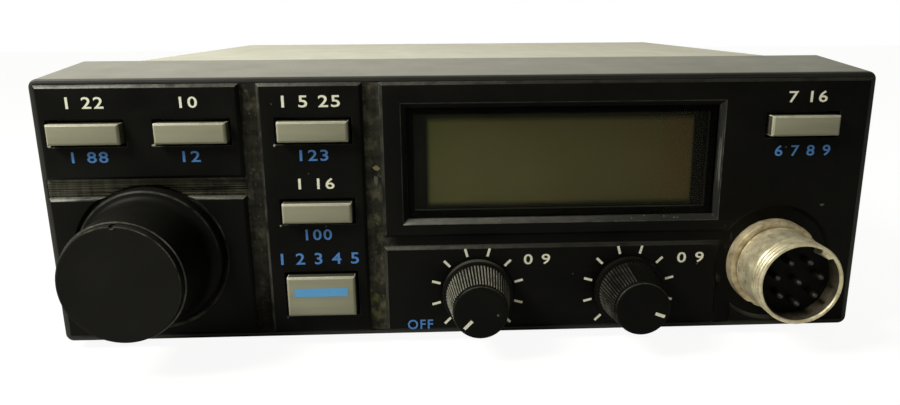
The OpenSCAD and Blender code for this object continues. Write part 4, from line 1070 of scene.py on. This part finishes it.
def knob_scale(node):
    """Ticks round a knob, apart from any that the panel has no room for."""
    for degrees in TICK_ANGLES:
        angle = math.radians(degrees)
        centre = beside_axis(node, TICK_R, angle)
        if centre[1] > PANEL_LOW.z + TICK_L / 2:
            print_bar(f"{node}_tick_{degrees + 180}", centre, TICK_L, TICK_W, angle, "white_print")


def pointer(node, degrees, r0, r1):
    """The white pointer on a knob's front, which turns with it."""
    angle = math.radians(degrees)
    print_bar(node + "_pointer", beside_axis(node, (r0 + r1) / 2, angle), r1 - r0, POINTER_W, angle,
              "white_print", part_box(node)[0].y, nodes[node]["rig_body"])


def make_prints():
    for name, words, finish, x0, x1, z0, z1 in PRINTS:
        print_text(name, words, (x0, x1, z0, z1), finish)
    for node in ("volume_knob", "squelch_knob"):
        knob_scale(node)
    pointer("volume_knob", -135, 2.3 * MM, 4.5 * MM)
    pointer("squelch_knob", 110, 2.6 * MM, 4.6 * MM)
    x, _ = centre_of("function_key")
    print_bar("function_key_bar", (x, BAR_Z), BAR_L, BAR_W, math.pi / 2, "blue_bar",
              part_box("function_key")[0].y, nodes["function_key"]["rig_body"])


# Small bare and dirty spots in millimetres, as (finish, x, depth behind the pads, z, width, height)
FLECKS = (
    ("yellow_fleck", -17.0, 1.0, 37.0, 1.7, 1.2),
    ("faint_fleck", -17.1, 1.0, 34.6, 0.9, 2.0),
    ("bare_fleck", -78.5, 0.0, 42.3, 0.9, 0.5),
    ("bare_fleck", -58.9, 0.0, 42.3, 0.9, 0.5),
    ("bare_fleck", -36.2, 0.0, 41.9, 0.5, 0.6),
    ("bare_fleck", -36.1, 0.0, 25.9, 0.45, 0.4),
    ("faint_fleck", -35.9, 0.0, 6.5, 0.35, 0.4),
    ("faint_fleck", 64.1, 0.0, 40.3, 0.4, 0.4),
    ("faint_fleck", 72.7, 0.0, 28.3, 1.2, 0.5),
    ("faint_fleck", 22.3, 0.0, 14.7, 0.35, 0.3),
    ("faint_fleck", 47.9, 0.0, 16.3, 0.35, 0.4),
    ("faint_fleck", -30.0, 0.0, 36.3, 0.3, 0.25),
)
FLECK_CORNERS = 11


def make_flecks():
    """Flat spots with uneven outlines."""
    for number, (finish, x, depth, z, width, height) in enumerate(FLECKS):
        corners = []
        for step in range(FLECK_CORNERS):
            angle = 2 * math.pi * step / FLECK_CORNERS
            size = random.uniform(0.3, 0.55)
            corners.append(((x + width * size * math.cos(angle)) * MM, FACE_Y + depth * MM - PRINT_T,
                            (z + height * size * math.sin(angle)) * MM))
        flat_piece(f"fleck_{number}", corners, finish)


# ---------------- stage

def make_camera():
    forward = Vector((math.sin(YAW) * math.cos(PITCH), math.cos(YAW) * math.cos(PITCH), -math.sin(PITCH)))
    level = Vector((math.cos(YAW), -math.sin(YAW), 0))
    down = forward.cross(level)
    right = math.cos(ROLL) * level + math.sin(ROLL) * down
    lower = -math.sin(ROLL) * level + math.cos(ROLL) * down
    data = bpy.data.cameras.new("camera")
    data.sensor_width = SENSOR
    data.lens = FOCAL_PX * SENSOR / PHOTO_W
    data.shift_x = (PHOTO_W / 2 - CENTRE_PX[0]) / PHOTO_W
    data.shift_y = (CENTRE_PX[1] - PHOTO_H / 2) / PHOTO_W
    data.clip_start = 0.01
    camera = add_object("camera", data)
    turn = Matrix((right, -lower, -forward)).transposed().to_4x4()
    camera.matrix_world = Matrix.Translation(CAMERA_AT) @ turn
    bpy.context.scene.camera = camera


def mix_for_camera(tree, factor, lit, shown, out):
    """Mixes what lights the object with what the camera sees, by a factor, into a tree's output."""
    mix = tree.nodes.new("ShaderNodeMixShader")
    tree.links.new(factor, mix.inputs["Fac"])
    tree.links.new(lit, mix.inputs[1])
    tree.links.new(shown, mix.inputs[2])
    tree.links.new(mix.outputs["Shader"], out.inputs["Surface"])


def seen_directly(tree):
    """1 for camera rays, which show the white background."""
    return tree.nodes.new("ShaderNodeLightPath").outputs["Is Camera Ray"]


def level_along(tree, source, span, levels):
    """A value that goes from one level to another as a direction's component goes along a span."""
    node = tree.nodes.new("ShaderNodeMapRange")
    tree.links.new(source, node.inputs["Value"])
    put(node, {"From Min": span[0], "From Max": span[1], "To Min": levels[0], "To Max": levels[1]})
    return node.outputs["Result"]


def make_world():
    """White to the camera. As light it is dim in front and brighter behind, most of all on the left."""
    world = bpy.data.worlds.new("world")
    world.use_nodes = True
    tree = world.node_tree
    tree.nodes.clear()
    out = tree.nodes.new("ShaderNodeOutputWorld")
    shown = tree.nodes.new("ShaderNodeBackground")
    lit = tree.nodes.new("ShaderNodeBackground")
    put(shown, {"Color": (1, 1, 1, 1)})
    put(lit, {"Color": (*ROOM_TONE, 1)})
    split = tree.nodes.new("ShaderNodeSeparateXYZ")
    tree.links.new(tree.nodes.new("ShaderNodeTexCoord").outputs["Generated"], split.inputs[0])
    wall = tree.nodes.new("ShaderNodeMath")
    wall.operation = "MULTIPLY_ADD"
    behind = level_along(tree, split.outputs["Y"], WALL_DEPTHS, (0.0, 1.0))
    sideways = level_along(tree, split.outputs["X"], WALL_SIDES, (WALL_LEFT, WALL_RIGHT))
    tree.links.new(behind, wall.inputs[0])
    tree.links.new(sideways, wall.inputs[1])
    wall.inputs[2].default_value = ROOM_LIGHT
    tree.links.new(wall.outputs["Value"], lit.inputs["Strength"])
    mix_for_camera(tree, seen_directly(tree), lit.outputs["Background"], shown.outputs["Background"], out)
    bpy.context.scene.world = world


def make_floor():
    """A plain floor that the camera sees as nearly white, with the object's shadow on it."""
    half = FLOOR_SIZE / 2
    z = -FLOOR_DROP
    mesh = one_face("floor", [(-half, -half, z), (half, -half, z), (half, half, z), (-half, half, z)])
    floor = add_object("floor", mesh)
    material = bpy.data.materials.new("floor")
    material.use_nodes = True
    tree = material.node_tree
    diffuse = tree.nodes["Principled BSDF"]
    put(diffuse, {"Base Color": (*FLOOR_TONE, 1), "Roughness": 0.9})
    glow = tree.nodes.new("ShaderNodeEmission")
    put(glow, {"Strength": FLOOR_GLOW})
    share = tree.nodes.new("ShaderNodeMath")
    share.operation = "MULTIPLY"
    share.inputs[1].default_value = FLOOR_GLOW_SHARE
    tree.links.new(seen_directly(tree), share.inputs[0])
    mix_for_camera(tree, share.outputs["Value"], diffuse.outputs["BSDF"], glow.outputs["Emission"],
                   tree.nodes["Material Output"])
    mesh.materials.append(material)


def make_lamp():
    data = bpy.data.lights.new("key_light", "AREA")
    data.size = LAMP_SIZE
    data.energy = LAMP_POWER
    data.color = LAMP_TONE
    lamp = add_object("key_light", data)
    lamp.location = LAMP_AT
    lamp.rotation_euler = (LAMP_AIM - LAMP_AT).to_track_quat("-Z", "Y").to_euler()


# ---------------- assembly

finishes = make_finishes()
paint_nodes()
front_panel()
for node in KEYS:
    rounded_copy(node, KEY_ROUNDING, ("key_plastic_" + node, "key_edge"))
for node in ("top_cover", "bottom_cover"):
    rounded_copy(node, COVER_ROUNDING, ("cover_paint", "cover_paint"), LARGE_FACE)
rounded_copy("heat_sink", SINK_ROUNDING, ("sink_paint", "worn_edge"), LARGE_FACE)
for node in ("cover_screws", "rear_screws"):
    rounded_copy(node, SCREW_ROUNDING, ("plated_steel", "plated_steel"))
channel_dial()
dial_disc()
small_knob("volume_knob", "knob_rib", "dusty_knob_plastic")
# Painted highlight on the squelch knob's ribs at its left side only.
small_knob("squelch_knob", "dark_rib", "knob_plastic", -0.2)
mic_socket()
mic_ring()
antenna_socket()
make_prints()
make_flecks()

make_camera()
make_world()
make_floor()
make_lamp()
bpy.context.scene.view_settings.view_transform = "Standard"
